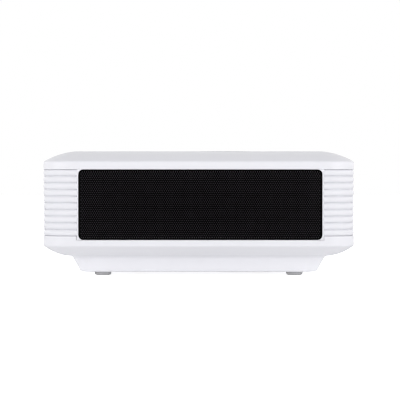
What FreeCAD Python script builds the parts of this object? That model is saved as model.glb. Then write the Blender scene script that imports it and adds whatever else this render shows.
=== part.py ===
"""Home projector with a built-in disc player, as an assembly of its separate pieces.

The row frame has +Z up. The lens and the disc tray face -Y, the sockets face +Y, and a perforated
speaker grille fills each side, +X and -X. The origin is on the table, under the middle of the case.
Lengths are in millimetres, angles in degrees.

A pillow-edged top cover and bottom shell close over a middle frame, whose four rounded corner posts
are ribbed. The frame has a window in each face: two grilles, the front fascia and the rear panel sit
in them. Inside are the optical engine, the disc loader, two loudspeakers and the boards.
"""

import FreeCAD, Part
import math
import os

from FreeCAD import Vector

OUT = "parts"

# ------------------------------------------------------------------ case, driving dimensions
CASE_WIDTH = 300.0  # across X
CASE_DEPTH = 255.0  # along Y
CASE_HEIGHT = 102.5  # table to the top cover
CORNER_RADIUS = 26.0  # of the case, seen from above
WALL = 2.5  # of the two shells
PILLOW_RUN = 25.0  # how far the soft edge of the bottom shell comes in
COVER_RUN = 32.0  # and that of the top cover, which ends on the flat with a faint crease
PILLOW_DROP = 8.8  # and how far it falls
RIM_ROUND = 0.4  # and where that wall ends, over and under the ribs
EDGE_BLEND = 2.0  # small radius where the soft edge meets the upright wall
FOOT_STANDOFF = 3.2  # gap under the base
PILLOW_FLOOR = 16.5  # underside of the bottom shell outside its base
RIM_HEIGHT = 6.1  # upright rim of the top cover, under its soft edge
TOP_RIM = CASE_HEIGHT - PILLOW_DROP - RIM_HEIGHT  # lower edge of the top cover
RIB_COUNT = 10  # ribs on each corner post
RIB_FOOT = 33.3  # lower edge of the lowest rib, and upper edge of the bottom shell
RIB_SWELL = 1.5  # how far a rib stands out of its grooves
GROOVE = (0.6, 0.8)  # width and depth of the shadow groove between two ribs
POST_WALL = 4.0
BASE_INSET = 22.3  # from the case's side to the top of the base
BASE_CORNER = 18.0
BASE_TAPER = 29.0  # lean of the base's skirt
BASE_FLARE = 5.0  # concave radius at the top of the skirt
BASE_ROUND = 3.0  # radius round its bottom edge
FIT = 0.3  # gap between fitted mouldings

# ------------------------------------------------------------------ windows and their panels
WINDOW_MARGIN = 28.5  # from the case's corner to a window
WINDOW_FLOOR = 30.4
WINDOW_RADIUS = 4.0
SIDE_WINDOW_SHIFT = 1.4  # the side windows lie a little to the rear
WINDOW_BORDER = 1.1  # smooth strip between the ribs and a window
SEAT_DEPTH = 5.2  # from the case's face to the lip that carries a panel
LIP_WIDTH = 4.0
LIP_THICK = 3.0
PANEL_GAP = 0.25  # round a panel in its window
PANEL_SET_BACK = 0.5
GRILLE_THICK = 0.9
GRILLE_ROLL = 2.2  # rolled front edge of a grille
FASCIA_THICK = 3.0

# ------------------------------------------------------------------ places of the main units
HALF_X, HALF_Y = CASE_WIDTH / 2, CASE_DEPTH / 2
LENS_X = -80.0
LENS_Z = (WINDOW_FLOOR + TOP_RIM) / 2
LOADER_X = 35.0
TRAY_SLOT_Z = TOP_RIM - 17.2
FOOT_X, FOOT_Y = HALF_X - 47.0, HALF_Y - 48.0
SCREW_Y = HALF_Y - 39.5
CASE_SCREWS = ((LENS_X - 33, SCREW_Y), (LOADER_X + 77, SCREW_Y),
               (LOADER_X - 72.2, -SCREW_Y), (LOADER_X + 73.5, -SCREW_Y))
KEYPAD_X, KEYPAD_Y = 64.0, 22.0
LEVEL_FOOT_Y = -HALF_Y + 51.5
INSERT_X, INSERT_Y = 70.0, 50.0

# The optics and the disc loader are drawn for a case of this half depth, with the tray's slot at
# this height, and then moved to where the front panel and the slot are.
DRAWN_HALF_DEPTH = 127.5
DRAWN_SLOT_Z = 70.4
TO_FRONT = DRAWN_HALF_DEPTH - HALF_Y
TO_REAR = -TO_FRONT
LOADER_RISE = TRAY_SLOT_Z - DRAWN_SLOT_Z
Z_AXIS = Vector(0, 0, 1)
ORIGIN = Vector(0, 0, 0)


# ------------------------------------------------------------------ helpers
def box(x0, x1, y0, y1, z0, z1):
    """A block between two corners."""
    return Part.makeBox(x1 - x0, y1 - y0, z1 - z0, Vector(x0, y0, z0))


def rod(radius, start, length, axis=(0, 0, 1)):
    """A cylinder from start, along axis."""
    return Part.makeCylinder(radius, length, Vector(*start), Vector(*axis))


def tube(outer, inner, start, length, axis=(0, 0, 1)):
    """A cylinder with a bore right through."""
    return rod(outer, start, length, axis).cut(rod(inner, start, length, axis))


def cone(low_radius, high_radius, start, length, axis=(0, 0, 1)):
    """A tapered cylinder from start, along axis."""
    return Part.makeCone(low_radius, high_radius, length, Vector(*start), Vector(*axis))


def fused(shapes):
    """Several shapes as one, with faces that run on merged."""
    shapes = list(shapes)
    whole = shapes[0].multiFuse(shapes[1:]) if len(shapes) > 1 else shapes[0]
    return whole.removeSplitter()


def rounded_face(width, height, radius):
    """A flat rectangle with round corners, centred on the origin in the XY plane."""
    a, b, r = width / 2, height / 2, radius
    k = r * (1 - math.sqrt(0.5))
    edges = []
    for sx, sy in ((1, 1), (-1, 1), (-1, -1), (1, -1)):
        ends = [Vector(sx * a, sy * (b - r), 0), Vector(sx * (a - r), sy * b, 0)]
        if sx * sy < 0:
            ends.reverse()
        mid = Vector(sx * (a - k), sy * (b - k), 0)
        edges.append(Part.Arc(ends[0], mid, ends[1]).toShape())
    sides = []
    for i in range(4):
        start = edges[i].Vertexes[-1].Point
        end = edges[(i + 1) % 4].Vertexes[0].Point
        if (end - start).Length > 1e-6:
            sides.append(Part.LineSegment(start, end).toShape())
    return Part.Face(Part.Wire(Part.__sortEdges__(edges + sides)))


def slab(x0, x1, y0, y1, z0, z1, radius):
    """An upright block with round vertical edges."""
    face = rounded_face(x1 - x0, y1 - y0, radius)
    face.translate(Vector((x0 + x1) / 2, (y0 + y1) / 2, z0))
    return face.extrude(Vector(0, 0, z1 - z0))


def facing_slab(x0, x1, z0, z1, y0, y1, radius):
    """A block with round corners seen from the front, between two depths along Y."""
    face = rounded_face(x1 - x0, z1 - z0, radius)
    face.rotate(ORIGIN, Vector(1, 0, 0), 90)
    face.translate(Vector((x0 + x1) / 2, y0, (z0 + z1) / 2))
    return face.extrude(Vector(0, y1 - y0, 0))


def prism(points, z0, z1):
    """An outline in the XY plane, raised from z0 to z1."""
    ring = [Vector(x, y, z0) for x, y in points]
    return Part.Face(Part.makePolygon(ring + ring[:1])).extrude(Vector(0, 0, z1 - z0))


def section(*edges):
    """A closed outline in the XZ plane. An edge is two points, or three on an arc."""
    made = []
    for edge in edges:
        points = [Vector(r, 0, z) for r, z in edge]
        kind = Part.LineSegment if len(points) == 2 else Part.Arc
        made.append(kind(*points).toShape())
    return Part.Face(Part.Wire(made))


def turned(*edges):
    """A solid of revolution about the Z axis from an outline in the XZ plane."""
    return section(*edges).revolve(ORIGIN, Z_AXIS, 360)


def on_circle(centre, radius, angle):
    """A point of a circle, the angle counted from +r towards +z."""
    a = math.radians(angle)
    return centre[0] + radius * math.cos(a), centre[1] + radius * math.sin(a)


def carried_round(face, half_x, half_y, corner):
    """A solid whose every upright section is face, carried round a rectangle with round corners.

    The face lies in the XZ plane with its x counted from the corner's axis outwards. If it reaches
    that axis, the middle is filled too."""
    reach_x, reach_y = half_x - corner, half_y - corner
    bounds = face.BoundBox
    solids = []
    if bounds.XMin < 1e-6:
        solids.append(box(-reach_x, reach_x, -reach_y, reach_y, bounds.ZMin, bounds.ZMax))
    for quarter in range(4):
        out, along = (reach_x, reach_y) if quarter % 2 == 0 else (reach_y, reach_x)
        side = face.copy()
        side.translate(Vector(out, -along, 0))
        side = side.extrude(Vector(0, 2 * along, 0))
        bend = face.revolve(ORIGIN, Z_AXIS, 90)
        bend.translate(Vector(out, along, 0))
        for piece in (side, bend):
            piece.rotate(ORIGIN, Z_AXIS, 90 * quarter)
            solids.append(piece)
    return fused(solids)


def ring_wall(inset_out, inset_in, z0, z1):
    """An upright wall round the case between two insets from its outer face."""
    outer = slab(
        -HALF_X + inset_out, HALF_X - inset_out, -HALF_Y + inset_out, HALF_Y - inset_out,
        z0, z1, CORNER_RADIUS - inset_out,
    )
    inner = slab(
        -HALF_X + inset_in, HALF_X - inset_in, -HALF_Y + inset_in, HALF_Y - inset_in,
        z0 - 1, z1 + 1, CORNER_RADIUS - inset_in,
    )
    return outer.cut(inner)


def four_ways(half_sizes):
    """(turn, distance, half width, shift) of the front, right, rear and left windows."""
    front, side = half_sizes
    return (
        (0, HALF_Y, front, 0.0),
        (90, HALF_X, side, SIDE_WINDOW_SHIFT),
        (180, HALF_Y, front, 0.0),
        (270, HALF_X, side, -SIDE_WINDOW_SHIFT),
    )


def to_side(shape, turn):
    """Turns a piece made for the front about Z: 90 takes it to +X, 180 to +Y and 270 to -X."""
    moved = shape.copy()
    moved.rotate(ORIGIN, Z_AXIS, turn)
    return moved


def save(name, shape):
    """Writes one piece's STEP file."""
    solids = shape.Solids
    if not solids or not shape.isValid():
        raise ValueError(f"{name} isn't a sound solid")
    made = solids[0] if len(solids) == 1 else Part.makeCompound(solids)
    made.exportStep(os.path.join(OUT, name + ".step"))
    PIECES[name] = made


PIECES = {}

# ------------------------------------------------------------------ the two shells
def pillow_circle(flat_z, up):
    """Radius and centre of the soft arc of a shell: up is 1 for the top cover, -1 for the bottom shell."""
    run = COVER_RUN if up > 0 else PILLOW_RUN
    past = max(run - CORNER_RADIUS, 0.0)
    radius = (run**2 + PILLOW_DROP**2) / (2 * PILLOW_DROP)
    return radius, (CORNER_RADIUS - run, flat_z - up * math.sqrt(radius**2 - past**2))


def pillow_section(outer_inset, flat_z, rim_z, up):
    """Section of a shell: upright rim, small blend, long soft arc, then flat to the axis.

    up is 1 for the top cover and -1 for the bottom shell. outer_inset offsets it inwards by a wall."""
    outer_radius, centre = pillow_circle(flat_z, up)
    radius = outer_radius - outer_inset
    blend = max(EDGE_BLEND - outer_inset, 0.0)
    reach = CORNER_RADIUS - outer_inset
    crown = max(centre[0], 0.0)
    flat = flat_z - up * outer_inset
    near = math.degrees(math.acos((crown - centre[0]) / radius))
    rise = math.sqrt((radius - blend) ** 2 - (reach - blend - centre[0]) ** 2)
    blend_centre = (reach - blend, centre[1] + up * rise)
    steep = math.degrees(math.asin(rise / (radius - blend)))
    touch = on_circle(centre, radius, up * steep)
    middle = on_circle(centre, radius, up * (steep + near) / 2)
    lip = 0.0 if outer_inset else RIM_ROUND
    lip_centre = (reach - lip, rim_z + up * lip)
    edges = [
        [(0, rim_z), (reach - lip, rim_z)],
        [(reach, rim_z + up * lip), (reach, blend_centre[1])],
    ]
    if lip:
        edges.insert(1, [(reach - lip, rim_z), on_circle(lip_centre, lip, -45 * up), (reach, rim_z + up * lip)])
    if blend:
        edges.append([(reach, blend_centre[1]), on_circle(blend_centre, blend, up * steep / 2), touch])
    edges += [
        [touch, middle, (crown, flat)],
    ]
    if crown:
        edges.append([(crown, flat), (0, flat)])
    edges.append([(0, flat), (0, rim_z)])
    return section(*edges)


def shell_form(outer_inset, flat_z, rim_z, up):
    """The filled outer form of a shell, offset inwards."""
    face = pillow_section(outer_inset, flat_z, rim_z, up)
    return carried_round(
        face, HALF_X - outer_inset, HALF_Y - outer_inset, CORNER_RADIUS - outer_inset
    )


def base_form(offset, floor_z, top_z, flared):
    """The tapered base under the bottom shell, offset inwards by a wall."""
    lean = math.radians(BASE_TAPER)
    reach = BASE_CORNER - offset / math.cos(lean)
    half_x, half_y = HALF_X - BASE_INSET, HALF_Y - BASE_INSET
    start = PILLOW_FLOOR + FIT
    foot_reach = reach - (start - floor_z) * math.tan(lean)
    if not flared:
        return carried_round(
            section(
                [(0, floor_z), (foot_reach, floor_z)],
                [(foot_reach, floor_z), (reach + (top_z - start) * math.tan(lean), top_z)],
                [(reach + (top_z - start) * math.tan(lean), top_z), (0, top_z)],
                [(0, top_z), (0, floor_z)],
            ),
            half_x - BASE_CORNER + reach + (top_z - start) * math.tan(lean),
            half_y - BASE_CORNER + reach + (top_z - start) * math.tan(lean),
            reach + (top_z - start) * math.tan(lean),
        )
    flare_r = reach + BASE_FLARE * (1 - math.sin(lean)) / math.cos(lean)
    flare = (flare_r, start - BASE_FLARE)
    flare_end = on_circle(flare, BASE_FLARE, 180 - BASE_TAPER)
    flare_mid = on_circle(flare, BASE_FLARE, (90 + 180 - BASE_TAPER) / 2)
    round_r = foot_reach - BASE_ROUND * (1 - math.sin(lean)) / math.cos(lean)
    bottom = (round_r, floor_z + BASE_ROUND)
    bottom_end = on_circle(bottom, BASE_ROUND, -BASE_TAPER)
    bottom_mid = on_circle(bottom, BASE_ROUND, -(90 + BASE_TAPER) / 2)
    face = section(
        [(0, floor_z), (round_r, floor_z)],
        [(round_r, floor_z), bottom_mid, bottom_end],
        [bottom_end, flare_end],
        [flare_end, flare_mid, (flare_r, start)],
        [(flare_r, start), (flare_r, top_z)],
        [(flare_r, top_z), (0, top_z)],
        [(0, top_z), (0, floor_z)],
    )
    grow = flare_r - BASE_CORNER
    return carried_round(face, half_x + grow, half_y + grow, flare_r)


FOCUS_Y = -82.0  # middle of the focus ring, along the lens as drawn
FOCUS_WINDOW = (46.0, 22.0)
WINDOW_SLOPE = 3.0  # how much smaller the focus window is at its foot
KEY_TRAVEL = 0.7
KEY_PROUD = 0.5
KEY_GAP = 0.25
OK_RADIUS = 8.0
ARROW_IN, ARROW_OUT = 10.0, 23.0
ARROW_SPLIT = 1.2  # gap between two arrow keys
POWER_RADIUS = 5.5
POWER_OFFSET = (-30.0, 30.0)  # from the middle of the keypad
COVER_UNDER = CASE_HEIGHT - WALL
SCREW_BOSS = 3.5
SCREW_RADIUS = 1.5
FRAME_TOP = TOP_RIM + 3.9
HOOK_WIDTH = 14.0


def arrow_outline(inner, outer, split, z0, z1):
    """One quarter of the arrow ring, to the right of its middle."""
    ring = rod(outer, (0, 0, z0), z1 - z0).cut(rod(inner, (0, 0, z0), z1 - z0))
    far = outer * 1.5
    wedge = prism([(split, 0), (far, far - split), (far, split - far)], z0, z1)
    return ring.common(wedge)


def keypad_place(shape, turn=0):
    moved = shape.copy()
    moved.rotate(ORIGIN, Z_AXIS, turn)
    moved.translate(Vector(KEYPAD_X, KEYPAD_Y, 0))
    return moved


def key_openings():
    """The holes in the top cover that the keys stand in."""
    z0, z1 = COVER_UNDER - 1, CASE_HEIGHT + 1
    power_x, power_y = KEYPAD_X + POWER_OFFSET[0], KEYPAD_Y + POWER_OFFSET[1]
    holes = [
        keypad_place(rod(OK_RADIUS + KEY_GAP, (0, 0, z0), z1 - z0)),
        rod(POWER_RADIUS + KEY_GAP, (power_x, power_y, z0), z1 - z0),
    ]
    arrow = arrow_outline(ARROW_IN - KEY_GAP, ARROW_OUT + KEY_GAP, ARROW_SPLIT - KEY_GAP, z0, z1)
    holes += [keypad_place(arrow, 90 * n) for n in range(4)]
    return holes


def focus_window():
    """Sloping finger window over the focus ring."""
    wide, long = FOCUS_WINDOW
    x, y = LENS_X, FOCUS_Y + TO_FRONT
    top = rounded_face(wide, long, 6.0)
    top.translate(Vector(x, y, CASE_HEIGHT + 0.01))
    foot = rounded_face(wide - 2 * WINDOW_SLOPE, long - 2 * WINDOW_SLOPE, 6.0 - WINDOW_SLOPE / 2)
    foot.translate(Vector(x, y, COVER_UNDER))
    slope = Part.makeLoft([foot.OuterWire, top.OuterWire], True, True)
    return slope.fuse(foot.extrude(Vector(0, 0, -1)))


def make_top_cover():
    """Soft-edged cover with screw bosses, locating skirt, key holes and the focus window."""
    outer = shell_form(0.0, CASE_HEIGHT, TOP_RIM, 1)
    hollow = shell_form(WALL, CASE_HEIGHT, TOP_RIM, 1)
    cover = outer.cut(hollow)
    bosses = []
    for x, y in CASE_SCREWS:
        post = tube(SCREW_BOSS, SCREW_RADIUS - 0.2, (x, y, SPLIT_Z), CASE_HEIGHT - 1 - SPLIT_Z)
        bosses.append(post.fuse(rod(SCREW_BOSS, (x, y, CASE_HEIGHT - 8), 7)))
    bosses += [tube(2.5, 0.9, (x, y, KEY_BOARD_Z + 1.6), COVER_UNDER + 0.5 - KEY_BOARD_Z - 1.6)
               for x, y in KEY_POSTS]
    cover = fused([cover, *bosses])
    return cover.cut(Part.makeCompound(key_openings() + [focus_window()]))


SPLIT_Z = 60.0  # where the top cover's bosses stand on the bottom shell's
BASE_FLOOR = FOOT_STANDOFF + WALL
CHASSIS_FLOOR = 44.0  # underside of the disc loader, as drawn
TRAY_HALF = 63.5
LOADER_HALF = TRAY_HALF + 4.0
CHASSIS_Y = (-114.5, 63.0)
LOADER_POSTS = [(x, y + TO_FRONT) for x in (LOADER_X - LOADER_HALF + 5, LOADER_X + LOADER_HALF - 5)
                for y in (CHASSIS_Y[0] + 5.5, CHASSIS_Y[1] - 5.5)]
BOARD_Z = 36.0
BOARD_POSTS = [(x, y + TO_REAR) for x in (-16.0, 57.8) for y in (72.0, 115.0)]
SUPPLY_Z = 13.0
SUPPLY_POSTS = [(x, y) for x in (20.0, 91.0) for y in (-64.0, 38.0)]
HOUSING_FLOOR = 24.0
HOUSING_HALF = 36.0
HOUSING_POSTS = [(x, y + TO_FRONT) for x in (LENS_X - HOUSING_HALF + 5, LENS_X + HOUSING_HALF - 5)
                 for y in (-30.0, 52.0)]
INSERT_LENGTH = 8.0
LEVEL_RECESS = (13.5, 4.5)  # radius and depth of the pocket for the levelling foot
LEVEL_BOSS = (5.5, 20.0)
LEVEL_STEM = 3.0
RUNNING = 0.06  # radial clearance of a shaft in its hole
FOOT_PEG = 2.5
VENT_SLOT = (26.0, 2.6)
VENT_PITCH = 5.2


def make_bottom_shell():
    """Bottom shell with its tapered base, window notches, posts, bosses and intake slots."""
    outer = fused([
        shell_form(0.0, PILLOW_FLOOR, RIB_FOOT, -1),
        base_form(0.0, FOOT_STANDOFF, PILLOW_FLOOR + 2.5, True),
    ])
    hollow = fused([
        shell_form(WALL, PILLOW_FLOOR, RIB_FOOT, -1),
        base_form(WALL, BASE_FLOOR, PILLOW_FLOOR + 2 * WALL, False),
    ])
    shell = outer.cut(hollow)
    low = FOOT_STANDOFF + 0.5
    loader_z = CHASSIS_FLOOR + LOADER_RISE
    posts = [rod(3.5, (x, y, low), loader_z - low) for x, y in LOADER_POSTS]
    posts += [rod(3.0, (x, y, low), BOARD_Z - low) for x, y in BOARD_POSTS]
    posts += [rod(3.0, (x, y, low), SUPPLY_Z - low) for x, y in SUPPLY_POSTS]
    posts += [rod(3.5, (x, y, low), HOUSING_FLOOR - low) for x, y in HOUSING_POSTS]
    posts += [rod(4.5, (x, y, low), INSERT_LENGTH + 1) for x in (-INSERT_X, INSERT_X)
              for y in (-INSERT_Y, INSERT_Y)]
    posts += [rod(SCREW_BOSS, (x, y, low), SPLIT_Z - low) for x, y in CASE_SCREWS]
    radius, depth = LEVEL_RECESS
    posts.append(rod(radius + WALL, (0, LEVEL_FOOT_Y, low), depth + WALL - 0.5))
    posts.append(rod(LEVEL_BOSS[0], (0, LEVEL_FOOT_Y, low), LEVEL_BOSS[1] - low))
    keep = fused([outer, slab(-HALF_X + 9, HALF_X - 9, -HALF_Y + 9, HALF_Y - 9,
                              RIB_FOOT - 8, SPLIT_Z + 1, CORNER_RADIUS - 9)])
    shell = fused([shell, *[post.common(keep) for post in posts]])
    holes = [rod(SCREW_RADIUS + 0.2, (x, y, 0), SPLIT_Z + 1) for x, y in CASE_SCREWS]
    holes += [rod(3.0, (x, y, 0), SCREW_HEAD_Z) for x, y in CASE_SCREWS]
    holes += [rod(3.0, (x, y, 0), FOOT_STANDOFF + INSERT_LENGTH) for x in (-INSERT_X, INSERT_X)
              for y in (-INSERT_Y, INSERT_Y)]
    holes += [rod(FOOT_PEG, (x, y, 0), BASE_FLOOR + 1) for x in (-FOOT_X, FOOT_X)
              for y in (-FOOT_Y, FOOT_Y)]
    holes.append(rod(radius, (0, LEVEL_FOOT_Y, 0), FOOT_STANDOFF + depth))
    holes.append(rod(LEVEL_STEM + RUNNING, (0, LEVEL_FOOT_Y, 0), LEVEL_BOSS[1] + 1))
    length, height = VENT_SLOT
    for n in range(8):
        y = 58.0 - n * VENT_PITCH
        for x in (-92.0, -8.0, 42.0):
            holes.append(slab(x - length / 2, x + length / 2, y, y + height,
                              0, BASE_FLOOR + 0.2, height / 2 - 0.01))
    bores = [(LOADER_POSTS, loader_z), (BOARD_POSTS, BOARD_Z), (SUPPLY_POSTS, SUPPLY_Z),
             (HOUSING_POSTS, HOUSING_FLOOR)]
    for places, top in bores:
        holes += [rod(MOUNT_SCREW[2], (x, y, top - MOUNT_SCREW[3]), MOUNT_SCREW[3] + 1) for x, y in places]
    for turn, distance, half, shift in four_ways(window_halves()):
        notch = box(shift - half - WINDOW_BORDER - FIT, shift + half + WINDOW_BORDER + FIT,
                    -distance - 1, -distance + WALL + 1, WINDOW_FLOOR - FIT, RIB_FOOT + 1)
        holes.append(to_side(notch, turn))
    return shell.cut(Part.makeCompound(holes))


SCREW_HEAD_Z = 14.0  # how deep the case screws are sunk


def make_rubber_feet():
    """Four round feet, each with a peg pressed through the base."""
    foot = turned(
        [(0, 0), (4.8, 0)],
        [(4.8, 0), (6.3, 0.6), (7.0, 2.0)],
        [(7.0, 2.0), (7.0, FOOT_STANDOFF)],
        [(7.0, FOOT_STANDOFF), (FOOT_PEG, FOOT_STANDOFF)],
        [(FOOT_PEG, FOOT_STANDOFF), (FOOT_PEG, BASE_FLOOR + 1.5)],
        [(FOOT_PEG, BASE_FLOOR + 1.5), (0, BASE_FLOOR + 1.5)],
        [(0, BASE_FLOOR + 1.5), (0, 0)],
    )
    feet = []
    for x in (-FOOT_X, FOOT_X):
        for y in (-FOOT_Y, FOOT_Y):
            one = foot.copy()
            one.translate(Vector(x, y, 0))
            feet.append(one)
    return Part.makeCompound(feet)


def make_mount_inserts():
    """Brass threaded inserts for a ceiling bracket."""
    return Part.makeCompound([
        tube(3.0, 1.65, (x, y, FOOT_STANDOFF), INSERT_LENGTH)
        for x in (-INSERT_X, INSERT_X) for y in (-INSERT_Y, INSERT_Y)
    ])


def case_screws():
    """The long screws that close the case."""
    screws = []
    for x, y in CASE_SCREWS:
        head = rod(2.8, (x, y, SCREW_HEAD_Z - 2.2), 2.2)
        socket = rod(1.2, (x, y, SCREW_HEAD_Z - 2.3), 1.4)
        shank = rod(SCREW_RADIUS - 0.2, (x, y, SCREW_HEAD_Z), SPLIT_Z + 12 - SCREW_HEAD_Z)
        screws.append(head.fuse(shank).cut(socket))
    return screws


# ------------------------------------------------------------------ ribbed middle frame
def window_halves():
    """Half widths of the front and rear windows, and of the side windows."""
    return HALF_X - WINDOW_MARGIN, HALF_Y - WINDOW_MARGIN


def ribbed_section():
    """Section of a corner post: ten swelling ribs outside, a plain wall inside."""
    pitch = (TOP_RIM - RIB_FOOT) / RIB_COUNT
    groove = CORNER_RADIUS - RIB_SWELL
    inside = CORNER_RADIUS - POST_WALL
    half, deep = GROOVE[0] / 2, CORNER_RADIUS - RIB_SWELL - GROOVE[1]
    edges = []
    for n in range(RIB_COUNT):
        low = RIB_FOOT + n * pitch
        high = low + pitch
        edges.append([(deep, low), (deep, low + half)])
        edges.append([(deep, low + half), (groove, low + half)])
        edges.append([(groove, low + half), (CORNER_RADIUS, low + pitch / 2), (groove, high - half)])
        edges.append([(groove, high - half), (deep, high - half)])
        edges.append([(deep, high - half), (deep, high)])
    edges.append([(deep, TOP_RIM), (inside, TOP_RIM)])
    edges.append([(inside, TOP_RIM), (inside, RIB_FOOT)])
    edges.append([(inside, RIB_FOOT), (deep, RIB_FOOT)])
    return section(*edges)


def make_ribbed_frame():
    """Four ribbed corner posts tied by a rail above and one below, with a window in each face."""
    lip_in = SEAT_DEPTH + LIP_THICK
    rail_out = WALL + FIT
    parts = [
        ring_wall(rail_out, lip_in, TOP_RIM - LIP_WIDTH, FRAME_TOP),
        ring_wall(rail_out, lip_in, WINDOW_FLOOR - 3.0, WINDOW_FLOOR + LIP_WIDTH),
    ]
    profile = ribbed_section()
    windows = four_ways(window_halves())
    reach_x, reach_y = HALF_X - CORNER_RADIUS, HALF_Y - CORNER_RADIUS
    corners = {0: (reach_x, -reach_y), 90: (reach_x, reach_y), 180: (-reach_x, reach_y), 270: (-reach_x, -reach_y)}
    for turn, (x, y) in corners.items():
        bend = profile.revolve(ORIGIN, Z_AXIS, 90)
        bend.rotate(ORIGIN, Z_AXIS, turn - 90)
        bend.translate(Vector(x, y, 0))
        parts.append(bend)
    rail_low, rail_high = WINDOW_FLOOR + 0.01, TOP_RIM
    for turn, distance, half, shift in windows:
        out = HALF_X if turn % 180 == 0 else HALF_Y
        for side in (-1, 1):
            edge = shift + side * half
            bend_start = side * (out - CORNER_RADIUS)
            strip = sorted((edge + side * WINDOW_BORDER, bend_start))
            if strip[1] - strip[0] > 0.05:
                flat = profile.copy()
                flat.translate(Vector(distance - CORNER_RADIUS, 0, 0))
                flat.rotate(ORIGIN, Z_AXIS, -90)
                flat.translate(Vector(strip[0], 0, 0))
                parts.append(to_side(flat.extrude(Vector(strip[1] - strip[0], 0, 0)), turn))
            inner, outer = sorted((edge - side * WINDOW_RADIUS, edge + side * WINDOW_BORDER))
            border = box(inner, outer, -distance + RIB_SWELL / 3, -distance + lip_in, rail_low, rail_high)
            parts.append(to_side(border, turn))
            lip = sorted((edge - side * LIP_WIDTH, edge + side * WINDOW_BORDER))
            jamb = box(lip[0], lip[1], -distance + SEAT_DEPTH, -distance + lip_in, rail_low, rail_high)
            parts.append(to_side(jamb, turn))
        if turn % 180:
            for side in (-1, 1):
                at = shift + side * SPEAKER_BAR
                bar = box(at - 2.5, at + 2.5, -distance + SEAT_DEPTH, -distance + lip_in,
                          WINDOW_FLOOR + 1, TOP_RIM - 1)
                parts.append(to_side(bar, turn))
    frame = fused(parts)
    cuts = []
    for turn, distance, half, shift in windows:
        pocket = facing_slab(shift - half, shift + half, WINDOW_FLOOR, TOP_RIM,
                             -distance - 1, -distance + SEAT_DEPTH, WINDOW_RADIUS)
        cuts.append(to_side(pocket, turn))
    return frame.cut(Part.makeCompound(cuts))


SPEAKER_BAR = 27.0  # from the speaker's middle to the bars that carry it


# ------------------------------------------------------------------ window panels
def panel_outline(half, distance, y0, y1, inset=0.0, shift=0.0):
    """A panel's outline in its window, between two depths behind the case's face."""
    gap = PANEL_GAP + inset
    return facing_slab(
        shift - half + gap, shift + half - gap, WINDOW_FLOOR + gap, TOP_RIM - gap,
        -distance + y0, -distance + y1, max(WINDOW_RADIUS - gap, 0.6),
    )


def rolled(shape, distance, y0, radius):
    """Rounds the edges of a panel's front face."""
    front = [
        e for e in shape.Edges
        if abs(e.BoundBox.YMin + distance - y0) < 1e-4 and abs(e.BoundBox.YMax + distance - y0) < 1e-4
    ]
    return shape.makeFillet(radius, front)


def make_grille(turn, shift):
    """A pressed sheet-steel grille: a dished face with rolled edges and a flange on the lip."""
    half = window_halves()[1]
    skin = rolled(panel_outline(half, HALF_X, PANEL_SET_BACK, SEAT_DEPTH, 0.0, shift),
                  HALF_X, PANEL_SET_BACK, GRILLE_ROLL)
    inside = rolled(
        panel_outline(half, HALF_X, PANEL_SET_BACK + GRILLE_THICK, SEAT_DEPTH + 1, GRILLE_THICK, shift),
        HALF_X, PANEL_SET_BACK + GRILLE_THICK, GRILLE_ROLL - GRILLE_THICK)
    sheet = skin.cut(inside)
    tabs = []
    for side in (-1, 1):
        for z0, z1 in ((WINDOW_FLOOR + PANEL_GAP, WINDOW_FLOOR + 3.2), (TOP_RIM - 3.2, TOP_RIM - PANEL_GAP)):
            for at in (-0.6, 0.0, 0.6):
                x = shift + at * half + side * 6
                tabs.append(box(x - 3, x + 3, -HALF_X + SEAT_DEPTH - 0.9, -HALF_X + SEAT_DEPTH, z0, z1))
    return to_side(fused([sheet, *tabs]), turn)


def make_panel_blank(distance, half):
    """A moulded panel: a thick face with a rolled edge and a rim that stands on the lip."""
    block = rolled(panel_outline(half, distance, PANEL_SET_BACK, SEAT_DEPTH), distance, PANEL_SET_BACK, 1.2)
    hollow = panel_outline(half, distance, PANEL_SET_BACK + FASCIA_THICK, SEAT_DEPTH + 1, 2.0)
    return block.cut(hollow)


TRAY_SLOT = (2 * TRAY_HALF + 6.0, 15.0)
LENS_MARGIN = 2.6  # from the window's edge to the trim ring's rebate
TRIM_RING = ((TOP_RIM - WINDOW_FLOOR) / 2 - LENS_MARGIN, (TOP_RIM - WINDOW_FLOOR) / 2 - LENS_MARGIN - 3.1)
LENS_OPENING = TRIM_RING[0] - 2.8
BUTTON_SIZE = (16.0, 5.6)
BUTTON_AT = (84.0, 46.0)
IR_AT = (10.0, 46.0)
IR_RADIUS = 4.5
FACE_Y = -HALF_Y + PANEL_SET_BACK  # front plane of the fascia


def make_front_fascia():
    """Front panel with the lens opening, the tray slot, the open/close button and the remote window."""
    panel = make_panel_blank(HALF_Y, window_halves()[0])
    y0, y1 = -HALF_Y - 1, -HALF_Y + SEAT_DEPTH + 1
    width, height = TRAY_SLOT
    bx, bz = BUTTON_AT
    bw, bh = BUTTON_SIZE
    cuts = [
        rod(LENS_OPENING, (LENS_X, y0, LENS_Z), y1 - y0, (0, 1, 0)),
        rod(TRIM_RING[0] - FIT, (LENS_X, y0, LENS_Z), 1 + PANEL_SET_BACK + 1.4, (0, 1, 0)),
        facing_slab(LOADER_X - width / 2, LOADER_X + width / 2,
                    TRAY_SLOT_Z - height / 2, TRAY_SLOT_Z + height / 2, y0, y1, 1.5),
        facing_slab(bx - bw / 2 - KEY_GAP, bx + bw / 2 + KEY_GAP,
                    bz - bh / 2 - KEY_GAP, bz + bh / 2 + KEY_GAP, y0, y1, bh / 2),
        rod(IR_RADIUS, (IR_AT[0], y0, IR_AT[1]), y1 - y0, (0, 1, 0)),
    ]
    sleeve = tube(LENS_OPENING + 1.8, LENS_OPENING, (LENS_X, FACE_Y + FASCIA_THICK, LENS_Z), 1.5, (0, 1, 0))
    return fused([panel.cut(Part.makeCompound(cuts)), sleeve])


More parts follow.
